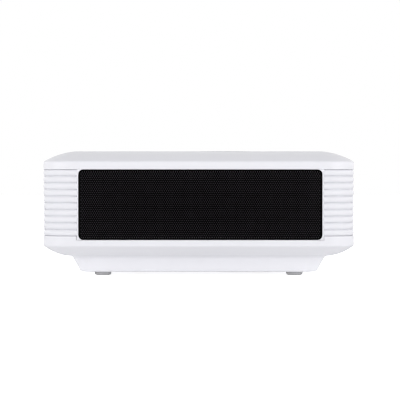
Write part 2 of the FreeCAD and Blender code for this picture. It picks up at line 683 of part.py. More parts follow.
def make_lens_trim_ring():
    """Bright ring seated in a rebate round the lens opening."""
    outer, inner = TRIM_RING[0] - FIT, TRIM_RING[1]
    ring = turned(
        [(inner + 0.6, 0), (outer - 0.5, 0)],
        [(outer - 0.5, 0), (outer, 0.5)],
        [(outer, 0.5), (outer, 1.9)],
        [(outer, 1.9), (LENS_OPENING + 0.3, 1.9)],
        [(LENS_OPENING + 0.3, 1.9), (inner, 1.9)],
        [(inner, 1.9), (inner, 0.6)],
        [(inner, 0.6), (inner + 0.6, 0)],
    )
    ring.rotate(ORIGIN, Vector(1, 0, 0), -90)
    ring.translate(Vector(LENS_X, -HALF_Y, LENS_Z))
    return ring


def make_ir_window():
    """Dark lens of the remote-control receiver, pressed in from behind."""
    x, z = IR_AT
    plug = rod(IR_RADIUS, (x, FACE_Y - 0.2, z), FASCIA_THICK + 0.2, (0, 1, 0))
    flange = rod(IR_RADIUS + 1.5, (x, FACE_Y + FASCIA_THICK, z), 1.2, (0, 1, 0))
    return plug.fuse(flange).removeSplitter()


FRONT_BOARD_Y = -HALF_Y + 10.0


def make_front_board():
    """Small board behind the fascia with the receiver and the button's switch."""
    board = box(0.0, 96.0, FRONT_BOARD_Y, FRONT_BOARD_Y + 1.6, 31.0, 56.0)
    sensor = box(IR_AT[0] - 3.5, IR_AT[0] + 3.5, FRONT_BOARD_Y - 4.0, FRONT_BOARD_Y, 42.0, 50.0)
    switch = box(BUTTON_AT[0] - 3, BUTTON_AT[0] + 3, FRONT_BOARD_Y - 2.2, FRONT_BOARD_Y, 43.0, 49.0)
    legs = [box(x, x + 5, -HALF_Y + SEAT_DEPTH + LIP_THICK, FRONT_BOARD_Y, 31.5, 34.0)
            for x in (24.0, 60.0)]
    return fused([board, sensor, switch, *legs])


def make_open_close_button():
    """Push button of the tray, with a flange behind the fascia and a stem to its switch."""
    x, z = BUTTON_AT
    w, h = BUTTON_SIZE
    cap = facing_slab(x - w / 2, x + w / 2, z - h / 2, z + h / 2,
                      FACE_Y - 0.4, FACE_Y + FASCIA_THICK + 0.2, h / 2 - 0.1)
    flange = facing_slab(x - w / 2 - 1.2, x + w / 2 + 1.2, z - h / 2 - 1.2, z + h / 2 + 1.2,
                         FACE_Y + FASCIA_THICK + FIT, FACE_Y + FASCIA_THICK + FIT + 0.8, 1.5)
    stem_end = FRONT_BOARD_Y - 2.2 - KEY_TRAVEL - 0.2
    stem = rod(1.5, (x, FACE_Y + 1, z), stem_end - FACE_Y - 1, (0, 1, 0))
    return fused([cap, flange, stem])


SOCKET_Z = BOARD_Z + 1.6
HDMI = (-4.0, 15.2, 6.2)  # middle, width and height
USB = (20.0, 14.6, 7.4)
JACKS_X = (36.0, 50.0)
JACK_BODY = 3.6
JACK_BORE = 1.8
INLET = (HALF_X - 66.0, 46.0)
INLET_SIZE = (22.0, 12.0)
SWITCH = (HALF_X - 44.0, 46.0)
SWITCH_SIZE = (11.0, 17.0)
FAN_SIZE = 60.0
FAN_DEPTH = 15.0
REAR_INSIDE = HALF_Y - PANEL_SET_BACK - FASCIA_THICK


def rear_place(shape):
    """A piece drawn for the front is turned to the rear, so its x is mirrored by the half turn."""
    return to_side(shape, 180)


def make_rear_panel():
    """Rear panel with the exhaust grid, socket openings and a second row of vents."""
    panel = rear_place(make_panel_blank(HALF_Y, window_halves()[0]))
    y0, y1 = HALF_Y - SEAT_DEPTH - 1, HALF_Y + 1
    cuts = []
    rows = int(((TOP_RIM - WINDOW_FLOOR) / 2 - 4.0) / 4.8)
    for n in range(-rows, rows + 1):
        z = LENS_Z + n * 4.8
        half = math.sqrt(max((FAN_SIZE / 2 - 2) ** 2 - (n * 4.8) ** 2, 0))
        for x0, x1 in ((-half, -1.5), (1.5, half)):
            cuts.append(facing_slab(LENS_X + x0, LENS_X + x1, z - 1.4, z + 1.4, y0, y1, 1.39))
    for n in range(10):
        x = -22.0 + n * 9.0
        cuts.append(facing_slab(x, x + 3.0, TOP_RIM - 25.6, TOP_RIM - 7.6, y0, y1, 1.49))
    x, w, h = HDMI
    cuts.append(facing_slab(x - w / 2 - FIT, x + w / 2 + FIT, SOCKET_Z - FIT, SOCKET_Z + h + FIT, y0, y1, 0.6))
    x, w, h = USB
    cuts.append(facing_slab(x - w / 2 - FIT, x + w / 2 + FIT, SOCKET_Z - FIT, SOCKET_Z + h + FIT, y0, y1, 0.6))
    for x in JACKS_X:
        cuts.append(rod(JACK_BODY + FIT, (x, y0, SOCKET_Z + JACK_BODY), y1 - y0, (0, 1, 0)))
    for (x, z), (w, h) in ((INLET, INLET_SIZE), (SWITCH, SWITCH_SIZE)):
        cuts.append(facing_slab(x - w / 2 - FIT, x + w / 2 + FIT, z - h / 2 - FIT, z + h / 2 + FIT, y0, y1, 1.5))
    return panel.cut(Part.makeCompound(cuts))


def make_digital_sockets():
    """Video and memory-stick sockets: a folded metal shell round a tongue, standing on the board."""
    face = HALF_Y - PANEL_SET_BACK - 0.6
    made = []
    for (x, w, h), depth in ((HDMI, 11.5), (USB, 14.0)):
        shell = box(x - w / 2, x + w / 2, face - depth, face, SOCKET_Z, SOCKET_Z + h)
        mouth = facing_slab(x - w / 2 + 0.5, x + w / 2 - 0.5, SOCKET_Z + 0.5, SOCKET_Z + h - 0.5,
                            face - depth + 2.0, face + 1, 0.8)
        tongue = box(x - w / 2 + 1.8, x + w / 2 - 1.8, face - depth + 1.5, face - 1.2,
                     SOCKET_Z + h * 0.5 - 0.6, SOCKET_Z + h * 0.5 + 0.8)
        made.append(fused([shell.cut(mouth), tongue]))
    return Part.makeCompound(made)


def make_audio_jacks():
    """Two jack sockets with a round bore, on square bodies that stand on the board."""
    face = HALF_Y - PANEL_SET_BACK - 0.4
    made = []
    for x in JACKS_X:
        nose = rod(JACK_BODY, (x, face - 4.5, SOCKET_Z + JACK_BODY), 4.5, (0, 1, 0))
        body = box(x - 4, x + 4, face - 16, face - 4.2, SOCKET_Z, SOCKET_Z + 7.6)
        bore = rod(JACK_BORE, (x, face - 14, SOCKET_Z + JACK_BODY), 15, (0, 1, 0))
        made.append(fused([nose, body]).cut(bore))
    return Part.makeCompound(made)


def make_ac_inlet():
    """Two-pin mains inlet: flanged body with a figure-eight pocket and two pins."""
    x, z = INLET
    w, h = INLET_SIZE
    outside = HALF_Y - PANEL_SET_BACK
    body = facing_slab(x - w / 2, x + w / 2, z - h / 2, z + h / 2, outside - 20, outside + 0.2, 2.0)
    clip = facing_slab(x - w / 2 - 2, x + w / 2 + 2, z - h / 2 - 2, z + h / 2 + 2,
                       REAR_INSIDE - 2.0, REAR_INSIDE, 2.0)
    pocket = fused([
        rod(4.2, (x + side * 4.3, outside - 15, z), 16, (0, 1, 0)) for side in (-1, 1)
    ] + [box(x - 4.3, x + 4.3, outside - 15, outside + 1, z - 4.2, z + 4.2)])
    pins = [rod(1.2, (x + side * 4.3, outside - 16, z), 13, (0, 1, 0)) for side in (-1, 1)]
    return fused([fused([body, clip]).cut(pocket), *pins])


ROCKER_TILT = 8.0
ROCKER_HALF = 6.6
ROCKER_WIDTH = 7.6


def make_switch_body():
    """Housing of the mains switch, clipped in the rear panel."""
    x, z = SWITCH
    w, h = SWITCH_SIZE
    outside = HALF_Y - PANEL_SET_BACK
    body = facing_slab(x - w / 2, x + w / 2, z - h / 2, z + h / 2, outside - 14, outside + 0.4, 1.0)
    well = box(x - ROCKER_WIDTH / 2 - KEY_GAP, x + ROCKER_WIDTH / 2 + KEY_GAP, outside - 8.4, outside + 1,
               z - ROCKER_HALF - 0.6, z + ROCKER_HALF + 0.6)
    clip = facing_slab(x - w / 2 - 1.4, x + w / 2 + 1.4, z - h / 2, z + h / 2, REAR_INSIDE - 3, REAR_INSIDE, 1.0)
    pivots = rod(1.0, (x - ROCKER_WIDTH / 2 - 1, outside - 2.9, z), ROCKER_WIDTH + 2, (1, 0, 0))
    return fused([fused([body, clip]).cut(well), pivots])


def make_switch_rocker():
    """Rocker with two sloping faces, at rest with its lower end pressed."""
    x, z = SWITCH
    outside = HALF_Y - PANEL_SET_BACK
    pivot = Vector(x, outside - 2.9, z)
    slope = ROCKER_HALF * math.tan(math.radians(ROCKER_TILT))
    crest = 2.4
    outline = [(-ROCKER_HALF, crest), (0, crest - slope), (ROCKER_HALF, crest),
               (ROCKER_HALF - 1.0, -1.2), (2.6, -4.4), (-2.6, -4.4), (-ROCKER_HALF + 1.0, -1.2)]
    ring = [Vector(-ROCKER_WIDTH / 2, y, z0) for z0, y in outline]
    rocker = Part.Face(Part.makePolygon(ring + ring[:1])).extrude(Vector(ROCKER_WIDTH, 0, 0))
    rocker = rocker.cut(rod(1.0 + RUNNING, (-ROCKER_WIDTH, 0, 0), 2 * ROCKER_WIDTH, (1, 0, 0)))
    rocker.rotate(ORIGIN, Vector(1, 0, 0), ROCKER_TILT)
    rocker.translate(pivot)
    return rocker


# ------------------------------------------------------------------ loudspeakers
SPEAKER_PLATE = (60.0, 52.0)
SPEAKER_THICK = 1.6
SPEAKER_DEPTH = 10.0


def speaker_place(shape, turn):
    """Moves a loudspeaker, drawn about its axis facing -Y, behind a side window."""
    moved = shape.copy()
    shift = SIDE_WINDOW_SHIFT if turn == 90 else -SIDE_WINDOW_SHIFT
    moved.translate(Vector(shift, -HALF_X + SEAT_DEPTH + LIP_THICK, LENS_Z))
    return to_side(moved, turn)


def make_speaker_baskets():
    """Steel basket and magnet of each loudspeaker."""
    w, h = SPEAKER_PLATE
    plate = facing_slab(-w / 2, w / 2, -h / 2, h / 2, 0, SPEAKER_THICK, 8.0)
    bowl = cone(25.5, 15.0, (0, SPEAKER_THICK - 0.2, 0), 6.0, (0, 1, 0))
    bowl = bowl.cut(cone(24.3, 13.8, (0, SPEAKER_THICK - 0.3, 0), 5.6, (0, 1, 0)))
    mouth = rod(21.6, (0, -1, 0), SPEAKER_THICK + 1.2, (0, 1, 0))
    rebate = rod(23.8, (0, -1, 0), 1.8, (0, 1, 0))
    magnet = rod(14.0, (0, SPEAKER_THICK + 5.4, 0), SPEAKER_DEPTH - SPEAKER_THICK - 5.4, (0, 1, 0))
    windows = [box(-3.5, 3.5, 3.0, 6.5, 16.0, 30.0) for _ in range(4)]
    for n, window in enumerate(windows):
        window.rotate(ORIGIN, Vector(0, 1, 0), 45 + 90 * n)
    basket = fused([plate.cut(mouth).cut(rebate), bowl.cut(Part.makeCompound(windows)), magnet])
    return Part.makeCompound([speaker_place(basket, turn) for turn in (90, 270)])


def make_speaker_cones():
    """Paper cone with its rubber surround and dust cap, seated on the basket's rim."""
    half = section(
        [(0, 5.4), (6.0, 5.4)],
        [(6.0, 5.4), (17.6, 1.6)],
        [(17.6, 1.6), (19.6, -0.3), (21.4, 0.2)],
        [(21.4, 0.2), (23.7, 0.2)],
        [(23.7, 0.2), (23.7, 0.8)],
        [(23.7, 0.8), (21.0, 0.8)],
        [(21.0, 0.8), (19.6, 0.4), (18.2, 2.2)],
        [(18.2, 2.2), (6.4, 6.2)],
        [(6.4, 6.2), (0, 6.2)],
        [(0, 6.2), (0, 5.4)],
    )
    cone_shape = half.revolve(ORIGIN, Z_AXIS, 360)
    cone_shape.rotate(ORIGIN, Vector(1, 0, 0), -90)
    dome = Part.makeSphere(9.0, Vector(0, 12.0, 0)).common(box(-9, 9, 3.0, 5.6, -9, 9))
    whole = fused([cone_shape, dome])
    return Part.makeCompound([speaker_place(whole, turn) for turn in (90, 270)])


# ------------------------------------------------------------------ optical engine
HOUSING_TOP = CASE_HEIGHT - 8.5
HOUSING_WALL = 2.0
HOUSING_Y = (-36.0, 60.0)
FOCUS_DEPTH = 3.0  # from the inside of the cover down to the focus ring
FOCUS_RADIUS = COVER_UNDER - FOCUS_DEPTH - LENS_Z
TUBE_OUTER = FOCUS_RADIUS - 6.0
TUBE_BORE = TUBE_OUTER - 3.36
GROOVE_TOP = TUBE_OUTER + 3.6  # depth of the helical groove inside the focus ring
FOCUS_HALF = 9.0
FOCUS_PIN_Y = -79.0
FOCUS_STROKE = 6.0  # travel of the lens barrel
FOCUS_TURN = 120.0  # for this turn of the ring
BARREL_REAR = -45.0
PIN_RADIUS = 1.5
SLIDE_GAP = 0.1
BARREL_WALL = 2.54
NOSE_GAP = 1.2  # round the barrel's nose in the fascia's opening
NOSE_WALL = 1.6


def on_lens_axis(shape, y):
    """Turns a piece drawn along +Z to run forwards, with its foot at y on the lens axis."""
    moved = shape.copy()
    moved.rotate(ORIGIN, Vector(1, 0, 0), 90)
    moved.translate(Vector(LENS_X, y, LENS_Z))
    return moved


def make_optical_housing():
    """Box that carries the lens mount in front and the lamp plate behind."""
    y0, y1 = HOUSING_Y
    half = HOUSING_HALF
    outer = box(LENS_X - half, LENS_X + half, y0, y1, HOUSING_FLOOR, HOUSING_TOP)
    inner = box(LENS_X - half + HOUSING_WALL, LENS_X + half - HOUSING_WALL, y0 + 2.5, y1 + 1,
                HOUSING_FLOOR + HOUSING_WALL, HOUSING_TOP - HOUSING_WALL)
    ribs = [box(LENS_X - half + 2, LENS_X + half - 2, y, y + 2, HOUSING_TOP - 0.1, HOUSING_TOP + 2.0)
            for y in (-24.0, 4.0, 32.0)]
    light = rod(TUBE_BORE, (LENS_X, y0 - 1, LENS_Z), 5, (0, 1, 0))
    screws = [rod(1.5, (x, y - TO_FRONT, HOUSING_FLOOR - 1), 4) for x, y in HOUSING_POSTS]
    return fused([outer.cut(inner), *ribs]).cut(Part.makeCompound([light, *screws]))


def make_lens_mount():
    """Flanged tube the lens slides in, with a straight slot for the focusing pin."""
    y0 = HOUSING_Y[0]
    length = y0 + 97.0
    outline = turned(
        [(TUBE_BORE, 0), (TUBE_OUTER, 0)],
        [(TUBE_OUTER, 0), (TUBE_OUTER, -FOCUS_Y + y0 - FOCUS_HALF - 3)],
        [(TUBE_OUTER, -FOCUS_Y + y0 - FOCUS_HALF - 3), (TUBE_OUTER + 3.0, -FOCUS_Y + y0 - FOCUS_HALF - 3)],
        [(TUBE_OUTER + 3.0, -FOCUS_Y + y0 - FOCUS_HALF - 3), (TUBE_OUTER + 3.0, -FOCUS_Y + y0 - FOCUS_HALF - FIT)],
        [(TUBE_OUTER + 3.0, -FOCUS_Y + y0 - FOCUS_HALF - FIT), (TUBE_OUTER, -FOCUS_Y + y0 - FOCUS_HALF - FIT)],
        [(TUBE_OUTER, -FOCUS_Y + y0 - FOCUS_HALF - FIT), (TUBE_OUTER, length)],
        [(TUBE_OUTER, length), (TUBE_BORE, length)],
        [(TUBE_BORE, length), (TUBE_BORE, 0)],
    )
    tube_body = on_lens_axis(outline, y0)
    wide, tall = TUBE_OUTER + 2.0, TUBE_OUTER + 1.0
    flange = facing_slab(LENS_X - wide, LENS_X + wide, LENS_Z - tall, LENS_Z + tall, y0 - 3, y0, 4.0)
    flange = flange.cut(rod(TUBE_BORE, (LENS_X, y0 - 4, LENS_Z), 5, (0, 1, 0)))
    clip_groove = tube(TUBE_OUTER + 1, TUBE_OUTER - 1, (LENS_X, CLIP_Y, LENS_Z), CLIP_THICK, (0, 1, 0))
    reach = PIN_RADIUS + 0.25
    slot = box(LENS_X - reach, LENS_X + reach, FOCUS_PIN_Y - FOCUS_STROKE - reach,
               FOCUS_PIN_Y + reach, LENS_Z + 20, LENS_Z + 40)
    webs = [box(LENS_X - 1.5, LENS_X + 1.5, y0 - 30, y0 - 3, LENS_Z - 33, LENS_Z - 31)]
    return fused([tube_body, flange, *webs]).cut(Part.makeCompound([clip_groove, slot]))


CLIP_THICK = 1.2
CLIP_Y = FOCUS_Y - FOCUS_HALF - FIT - CLIP_THICK


def focus_clip():
    """Spring clip that keeps the focus ring on its tube."""
    clip = tube(TUBE_OUTER + 2.5, TUBE_OUTER - 1, (LENS_X, CLIP_Y, LENS_Z), CLIP_THICK, (0, 1, 0))
    return clip.cut(box(LENS_X - 4, LENS_X + 4, CLIP_Y - 1, CLIP_Y + 3, LENS_Z - 40, LENS_Z - 20))


def make_focus_ring():
    """Knurled ring with a helical groove inside that drives the lens in and out."""
    inner = TUBE_OUTER + RUNNING
    y0, y1 = FOCUS_Y - FOCUS_HALF, FOCUS_Y + FOCUS_HALF
    ring = tube(FOCUS_RADIUS, inner, (LENS_X, y0, LENS_Z), y1 - y0, (0, 1, 0))
    ring = ring.makeChamfer(0.8, [e for e in ring.Edges
                                  if abs(e.BoundBox.XLength - 2 * FOCUS_RADIUS) < 0.01
                                  and e.BoundBox.YLength < 0.01])
    knurl = []
    count = 60
    for n in range(count):
        x, z = on_circle((LENS_X, LENS_Z), FOCUS_RADIUS + 0.25, 360 / count * n)
        knurl.append(rod(0.9, (x, y0 + 2.5, z), y1 - y0 - 5, (0, 1, 0)))
    reach = PIN_RADIUS + 0.25
    steps = 20
    stride = FOCUS_TURN / steps
    lead = FOCUS_STROKE / FOCUS_TURN
    mean = (inner + GROOVE_TOP) / 2
    slope = math.degrees(math.atan(lead * stride / (mean * math.radians(stride))))
    groove = []
    for n in range(steps):
        turn = stride * (n + 0.5)
        half = mean * math.radians(stride) / 2 + 0.35
        one = box(-half, half, -reach, reach, inner - 1, GROOVE_TOP)
        one.rotate(ORIGIN, Z_AXIS, -slope)
        one.translate(Vector(0, FOCUS_PIN_Y - lead * turn, 0))
        one.rotate(ORIGIN, Vector(0, 1, 0), turn)
        groove.append(one)
    for turn in (0.0, FOCUS_TURN):
        end = rod(reach, (0, FOCUS_PIN_Y - lead * turn, inner - 1), GROOVE_TOP + 1 - inner)
        end.rotate(ORIGIN, Vector(0, 1, 0), turn)
        groove.append(end)
    path = groove[0].multiFuse(groove[1:])
    path.translate(Vector(LENS_X, 0, LENS_Z))
    return ring.cut(Part.makeCompound(knurl)).cut(path)


def make_lens_barrel():
    """Sliding lens barrel with its narrow nose and the focusing pin."""
    body = TUBE_BORE - SLIDE_GAP
    bore, nose, seat = body - BARREL_WALL, LENS_OPENING - NOSE_GAP, LENS_OPENING - NOSE_GAP - NOSE_WALL
    outline = turned(
        [(bore, 0), (body, 0)],
        [(body, 0), (body, 48)],
        [(body, 48), (nose, 54)],
        [(nose, 54), (nose, 78.9)],
        [(nose, 78.9), (nose - 0.6, 79.5)],
        [(nose - 0.6, 79.5), (seat, 79.5)],
        [(seat, 79.5), (seat, 71)],
        [(seat, 71), (seat - 1.8, 71)],
        [(seat - 1.8, 71), (seat - 1.8, 54)],
        [(seat - 1.8, 54), (bore - 2.0, 46)],
        [(bore - 2.0, 46), (bore - 2.0, 12)],
        [(bore - 2.0, 12), (bore, 12)],
        [(bore, 12), (bore, 0)],
    )
    pin = rod(PIN_RADIUS, (LENS_X, FOCUS_PIN_Y, LENS_Z + bore + 1), GROOVE_TOP - 0.4 - bore - 1)
    return fused([on_lens_axis(outline, BARREL_REAR), pin])


def lens_glass(radius, rear, front, bulge, way):
    """A round lens between two planes, one of its faces domed by a bulge; way is 1 to the front."""
    curve = (radius**2 + bulge**2) / (2 * bulge)
    blank = rod(radius, (0, 0, rear), front - rear)
    middle = front - curve if way > 0 else rear + curve
    return on_lens_axis(blank.common(Part.makeSphere(curve, Vector(0, 0, middle))), BARREL_REAR)


def make_lens_elements():
    """Front and rear glass of the projection lens."""
    front = LENS_OPENING - NOSE_GAP - NOSE_WALL
    rear = TUBE_BORE - SLIDE_GAP - BARREL_WALL
    return Part.makeCompound([lens_glass(front, 71.0, 78.6, 3.6, 1), lens_glass(rear, 3.0, 12.0, 5.0, -1)])


def housing_plate(y0, y1):
    """A plate that fills the housing across, standing on its floor."""
    reach = HOUSING_HALF - HOUSING_WALL
    return box(LENS_X - reach, LENS_X + reach, y0, y1,
               HOUSING_FLOOR + HOUSING_WALL, HOUSING_TOP - HOUSING_WALL)


def make_light_lenses():
    """Two field lenses and the condenser, each a plate that fits the housing."""
    dome = Part.makeSphere(38.0, Vector(LENS_X, 43.0 + 30.0, LENS_Z))
    dome = dome.common(box(LENS_X - 30, LENS_X + 30, 34.0, 43.5, LENS_Z - 30, LENS_Z + 30))
    return Part.makeCompound([
        housing_plate(-12.0, -10.0),
        housing_plate(14.0, 16.0),
        fused([housing_plate(43.0, 45.0), dome]),
    ])


def make_lcd_panel():
    """Image panel: a metal frame round its glass."""
    plate = housing_plate(0.0, 3.4)
    front = box(LENS_X - 27, LENS_X + 27, -1, 1.0, LENS_Z - 21, LENS_Z + 21)
    back = box(LENS_X - 27, LENS_X + 27, 2.4, 4, LENS_Z - 21, LENS_Z + 21)
    return plate.cut(Part.makeCompound([front, back]))


LAMP_Y = HOUSING_Y[1]
SINK_HALF = (27.5, 33.0)
SINK_TO_FAN = 8.3


def make_lamp_plate():
    """Plate that closes the housing's rear, with the square light emitter on it."""
    plate = facing_slab(LENS_X - HOUSING_HALF, LENS_X + HOUSING_HALF, HOUSING_FLOOR, HOUSING_TOP,
                        LAMP_Y, LAMP_Y + 2, 2.0)
    chip = box(LENS_X - 14, LENS_X + 14, LAMP_Y - 1.6, LAMP_Y, LENS_Z - 14, LENS_Z + 14)
    well = box(LENS_X - 11, LENS_X + 11, LAMP_Y - 2, LAMP_Y - 0.8, LENS_Z - 11, LENS_Z + 11)
    return fused([plate, chip.cut(well)])


def make_heat_sink():
    """Extruded aluminium sink with upright fins, flat against the lamp plate."""
    half_x, half_z = SINK_HALF
    y0 = LAMP_Y + 2
    depth = FAN_REAR - FAN_DEPTH - SINK_TO_FAN - TO_FRONT - y0
    parts = [box(LENS_X - half_x, LENS_X + half_x, y0, y0 + 5, LENS_Z - half_z, LENS_Z + half_z)]
    fins = 11
    for n in range(fins):
        x = LENS_X - half_x + n * (2 * half_x - 1.4) / (fins - 1)
        parts.append(box(x, x + 1.4, y0 + 4.9, y0 + depth, LENS_Z - half_z, LENS_Z + half_z))
    return fused(parts)


FAN_REAR = HALF_Y - SEAT_DEPTH - LIP_THICK
FAN_BORE = 28.6
FAN_HUB = 13.0


def make_fan_frame():
    """Square fan frame with its motor seat on four struts, standing against the frame's lips."""
    half = FAN_SIZE / 2
    y0, y1 = FAN_REAR - FAN_DEPTH, FAN_REAR
    body = facing_slab(LENS_X - half, LENS_X + half, LENS_Z - half, LENS_Z + half, y0, y1, 4.0)
    body = body.cut(rod(FAN_BORE, (LENS_X, y0 - 1, LENS_Z), FAN_DEPTH + 2, (0, 1, 0)))
    for dx in (-25, 25):
        for dz in (-25, 25):
            body = body.cut(rod(2.1, (LENS_X + dx, y0 - 1, LENS_Z + dz), FAN_DEPTH + 2, (0, 1, 0)))
    seat = rod(FAN_HUB, (LENS_X, y1 - 2.2, LENS_Z), 2.2, (0, 1, 0))
    shaft = rod(1.5, (LENS_X, y0 + 3, LENS_Z), FAN_DEPTH - 4, (0, 1, 0))
    struts = []
    for n in range(4):
        strut = box(-1.6, 1.6, y1 - 2.2, y1, FAN_HUB - 1, FAN_BORE + 0.8)
        strut.rotate(ORIGIN, Vector(0, 1, 0), 20 + 90 * n)
        strut.translate(Vector(LENS_X, 0, LENS_Z))
        struts.append(strut)
    return fused([body, seat, shaft, *struts])


def make_fan_rotor():
    """Hub with seven pitched blades, on the frame's shaft."""
    y0, y1 = FAN_REAR - FAN_DEPTH + 1.0, FAN_REAR - 2.8
    hub = rod(FAN_HUB, (0, y0, 0), y1 - y0, (0, 1, 0))
    blades = []
    for n in range(7):
        blade = box(-0.6, 0.6, -7.5, 7.5, FAN_HUB - 1.5, FAN_BORE)
        blade.rotate(ORIGIN, Z_AXIS, 52)
        blade.translate(Vector(0, (y0 + y1) / 2, 0))
        blade.rotate(ORIGIN, Vector(0, 1, 0), 360 / 7 * n)
        blades.append(blade)
    rotor = fused([hub, *blades]).common(rod(FAN_BORE - 0.9, (0, y0, 0), y1 - y0, (0, 1, 0)))
    rotor = rotor.cut(rod(1.5 + RUNNING, (0, y0 + 1.5, 0), 30, (0, 1, 0)))
    rotor.translate(Vector(LENS_X, 0, LENS_Z))
    return rotor


# ------------------------------------------------------------------ boards
def main_board():
    """Circuit board the sockets stand on, screwed to four posts."""
    board = slab(-21.0, 62.0, 66.0 + TO_REAR, HALF_Y - 8.5, BOARD_Z, SOCKET_Z, 2.0)
    return board.cut(Part.makeCompound([rod(1.5, (x, y, BOARD_Z - 1), 4) for x, y in BOARD_POSTS]))


def main_board_parts():
    """Chips, a small finned cooler, capacitors and plugs on the main board."""
    z = SOCKET_Z
    parts = [box(16.0, 34.0, 82.0, 100.0, z, z + 1.4), box(40.0, 50.0, 84.0, 96.0, z, z + 1.2),
             box(-12.0, -2.0, 82.0, 90.0, z, z + 1.2), box(-4.0, 12.0, 69.0, 73.5, z, z + 4.5),
             box(26.0, 50.0, 69.0, 73.5, z, z + 3.0)]
    parts += [box(16.5 + 3.2 * n, 17.7 + 3.2 * n, 82.5, 99.5, z + 1.4, z + 5.0) for n in range(6)]
    parts += [rod(3.2, (x, y, z), 9.0) for x, y in ((-12.0, 108.0), (-12.0, 100.0), (56.0, 100.0), (56.0, 92.0))]
    whole = [fused(parts[:1] + parts[5:11]), *parts[1:5], *parts[11:]]
    for one in whole:
        one.translate(Vector(0, TO_REAR, 0))
    return whole


def power_board():
    """Board of the power supply, on four posts over the floor."""
    board = slab(14.0, 97.0, -70.0, 44.0, SUPPLY_Z, SUPPLY_Z + 1.6, 2.0)
    return board.cut(Part.makeCompound([rod(1.5, (x, y, SUPPLY_Z - 1), 4) for x, y in SUPPLY_POSTS]))


def power_parts():
    """Transformer, capacitors, coils and a bent cooling plate."""
    z = SUPPLY_Z + 1.6
    core = box(40.0, 68.0, -30.0, 4.0, z, z + 17.0).cut(box(44.0, 64.0, -31.0, 5.0, z + 4, z + 13.0))
    winding = box(44.0, 64.0, -26.0, 0.0, z + 4, z + 13.0)
    parts = [fused([core, winding]), rod(8.0, (82.0, -30.0, z), 17.0), rod(5.0, (80.0, 10.0, z), 16.0),
             rod(5.0, (68.0, 18.0, z), 16.0), rod(5.0, (56.0, 18.0, z), 16.0),
             tube(8.0, 4.0, (30.0, -46.0, z), 9.0), box(60.0, 78.0, -64.0, -52.0, z, z + 14.0),
             box(24.0, 26.0, -30.0, 8.0, z, z + 16.0), box(80.0, 92.0, 26.0, 31.0, z, z + 7.0)]
    return parts


def make_circuit_boards():
    """The main board and the power supply's board."""
    return Part.makeCompound([main_board(), power_board()])


def make_board_parts():
    """Everything that stands on those two boards, apart from the sockets."""
    return Part.makeCompound(main_board_parts() + power_parts())


KEY_BOARD_Z = COVER_UNDER - 7.0
KEY_BOARD = (20.0, 100.0, -12.0, 62.0)
KEY_POSTS = [(24.0, -8.0), (96.0, -8.0), (24.0, 58.0), (96.0, 58.0)]
SWITCH_TOP = KEY_BOARD_Z + 1.6 + 1.6


def key_places():
    """Middle of each key on the top cover."""
    reach = (ARROW_IN + ARROW_OUT) / 2
    return {
        "ok": (KEYPAD_X, KEYPAD_Y),
        "right": (KEYPAD_X + reach, KEYPAD_Y),
        "up": (KEYPAD_X, KEYPAD_Y + reach),
        "left": (KEYPAD_X - reach, KEYPAD_Y),
        "down": (KEYPAD_X, KEYPAD_Y - reach),
        "power": (KEYPAD_X + POWER_OFFSET[0], KEYPAD_Y + POWER_OFFSET[1]),
    }


def make_key_board():
    """Board hung from the cover's posts, with a small switch under each key."""
    x0, x1, y0, y1 = KEY_BOARD
    board = slab(x0, x1, y0, y1, KEY_BOARD_Z, KEY_BOARD_Z + 1.6, 2.0)
    switches = [box(x - 3, x + 3, y - 3, y + 3, KEY_BOARD_Z + 1.5, SWITCH_TOP)
                for x, y in key_places().values()]
    return fused([board, *switches])


def key_stem(x, y):
    """Stem from a key's cap to just over its switch."""
    low = SWITCH_TOP + KEY_TRAVEL + 0.2
    return rod(1.5, (x, y, low), CASE_HEIGHT - 1 - low)


def round_key(radius, x, y):
    """Round key with a dished top, a flange under the cover and a stem."""
    top = CASE_HEIGHT + KEY_PROUD
    cap = rod(radius, (x, y, COVER_UNDER - 0.5), top - COVER_UNDER + 0.5)
    cap = cap.makeFillet(0.5, [e for e in cap.Edges if e.BoundBox.ZMin > top - 0.01])
    dish = Part.makeSphere(radius * 5, Vector(x, y, top - 0.4 + radius * 5))
    flange = rod(radius + 1.0, (x, y, COVER_UNDER - 1.3), 1.0)
    return fused([cap.cut(dish), flange, key_stem(x, y)])


def make_ok_button():
    """Round key in the middle of the arrows."""
    return round_key(OK_RADIUS, KEYPAD_X, KEYPAD_Y)


def make_power_button():
    """Round key beside the arrows."""
    return round_key(POWER_RADIUS, *key_places()["power"])


def make_arrow_button(turn):
    """One quarter of the arrow ring, with a raised arrowhead."""
    top = CASE_HEIGHT + KEY_PROUD
    cap = arrow_outline(ARROW_IN, ARROW_OUT, ARROW_SPLIT, COVER_UNDER - 0.5, top)
    cap = cap.makeChamfer(0.35, [e for e in cap.Edges if e.BoundBox.ZMin > top - 0.01])
    flange = arrow_outline(ARROW_IN - 0.3, ARROW_OUT + 1.2, ARROW_SPLIT - 0.3,
                           COVER_UNDER - 1.3, COVER_UNDER - 0.3)
    middle = (ARROW_IN + ARROW_OUT) / 2
    head = prism([(middle + 2.6, 0), (middle - 1.6, 2.8), (middle - 1.6, -2.8)], top - 0.25, top + 1)
    key = fused([cap.cut(head), flange, key_stem(middle, 0)])
    return keypad_place(key, turn)


# ------------------------------------------------------------------ disc loader
LOADER_WALL = 2.0
CHASSIS_DECK = CHASSIS_FLOOR + 2.0
WALL_TOP = 74.3
BRIDGE_Z = 80.0
DISC_Y = -52.0
TRAY_Y = (-121.0, 60.0)
TRAY_UNDER, TRAY_TOP = 66.8, 72.0
TRAY_RUNNER = 64.3
TRAY_STROKE = 140.0
DISC_WELL = 61.0
SMALL_WELL = 41.0
RUNNER_WIDTH = 3.0
LEDGE = 5.0

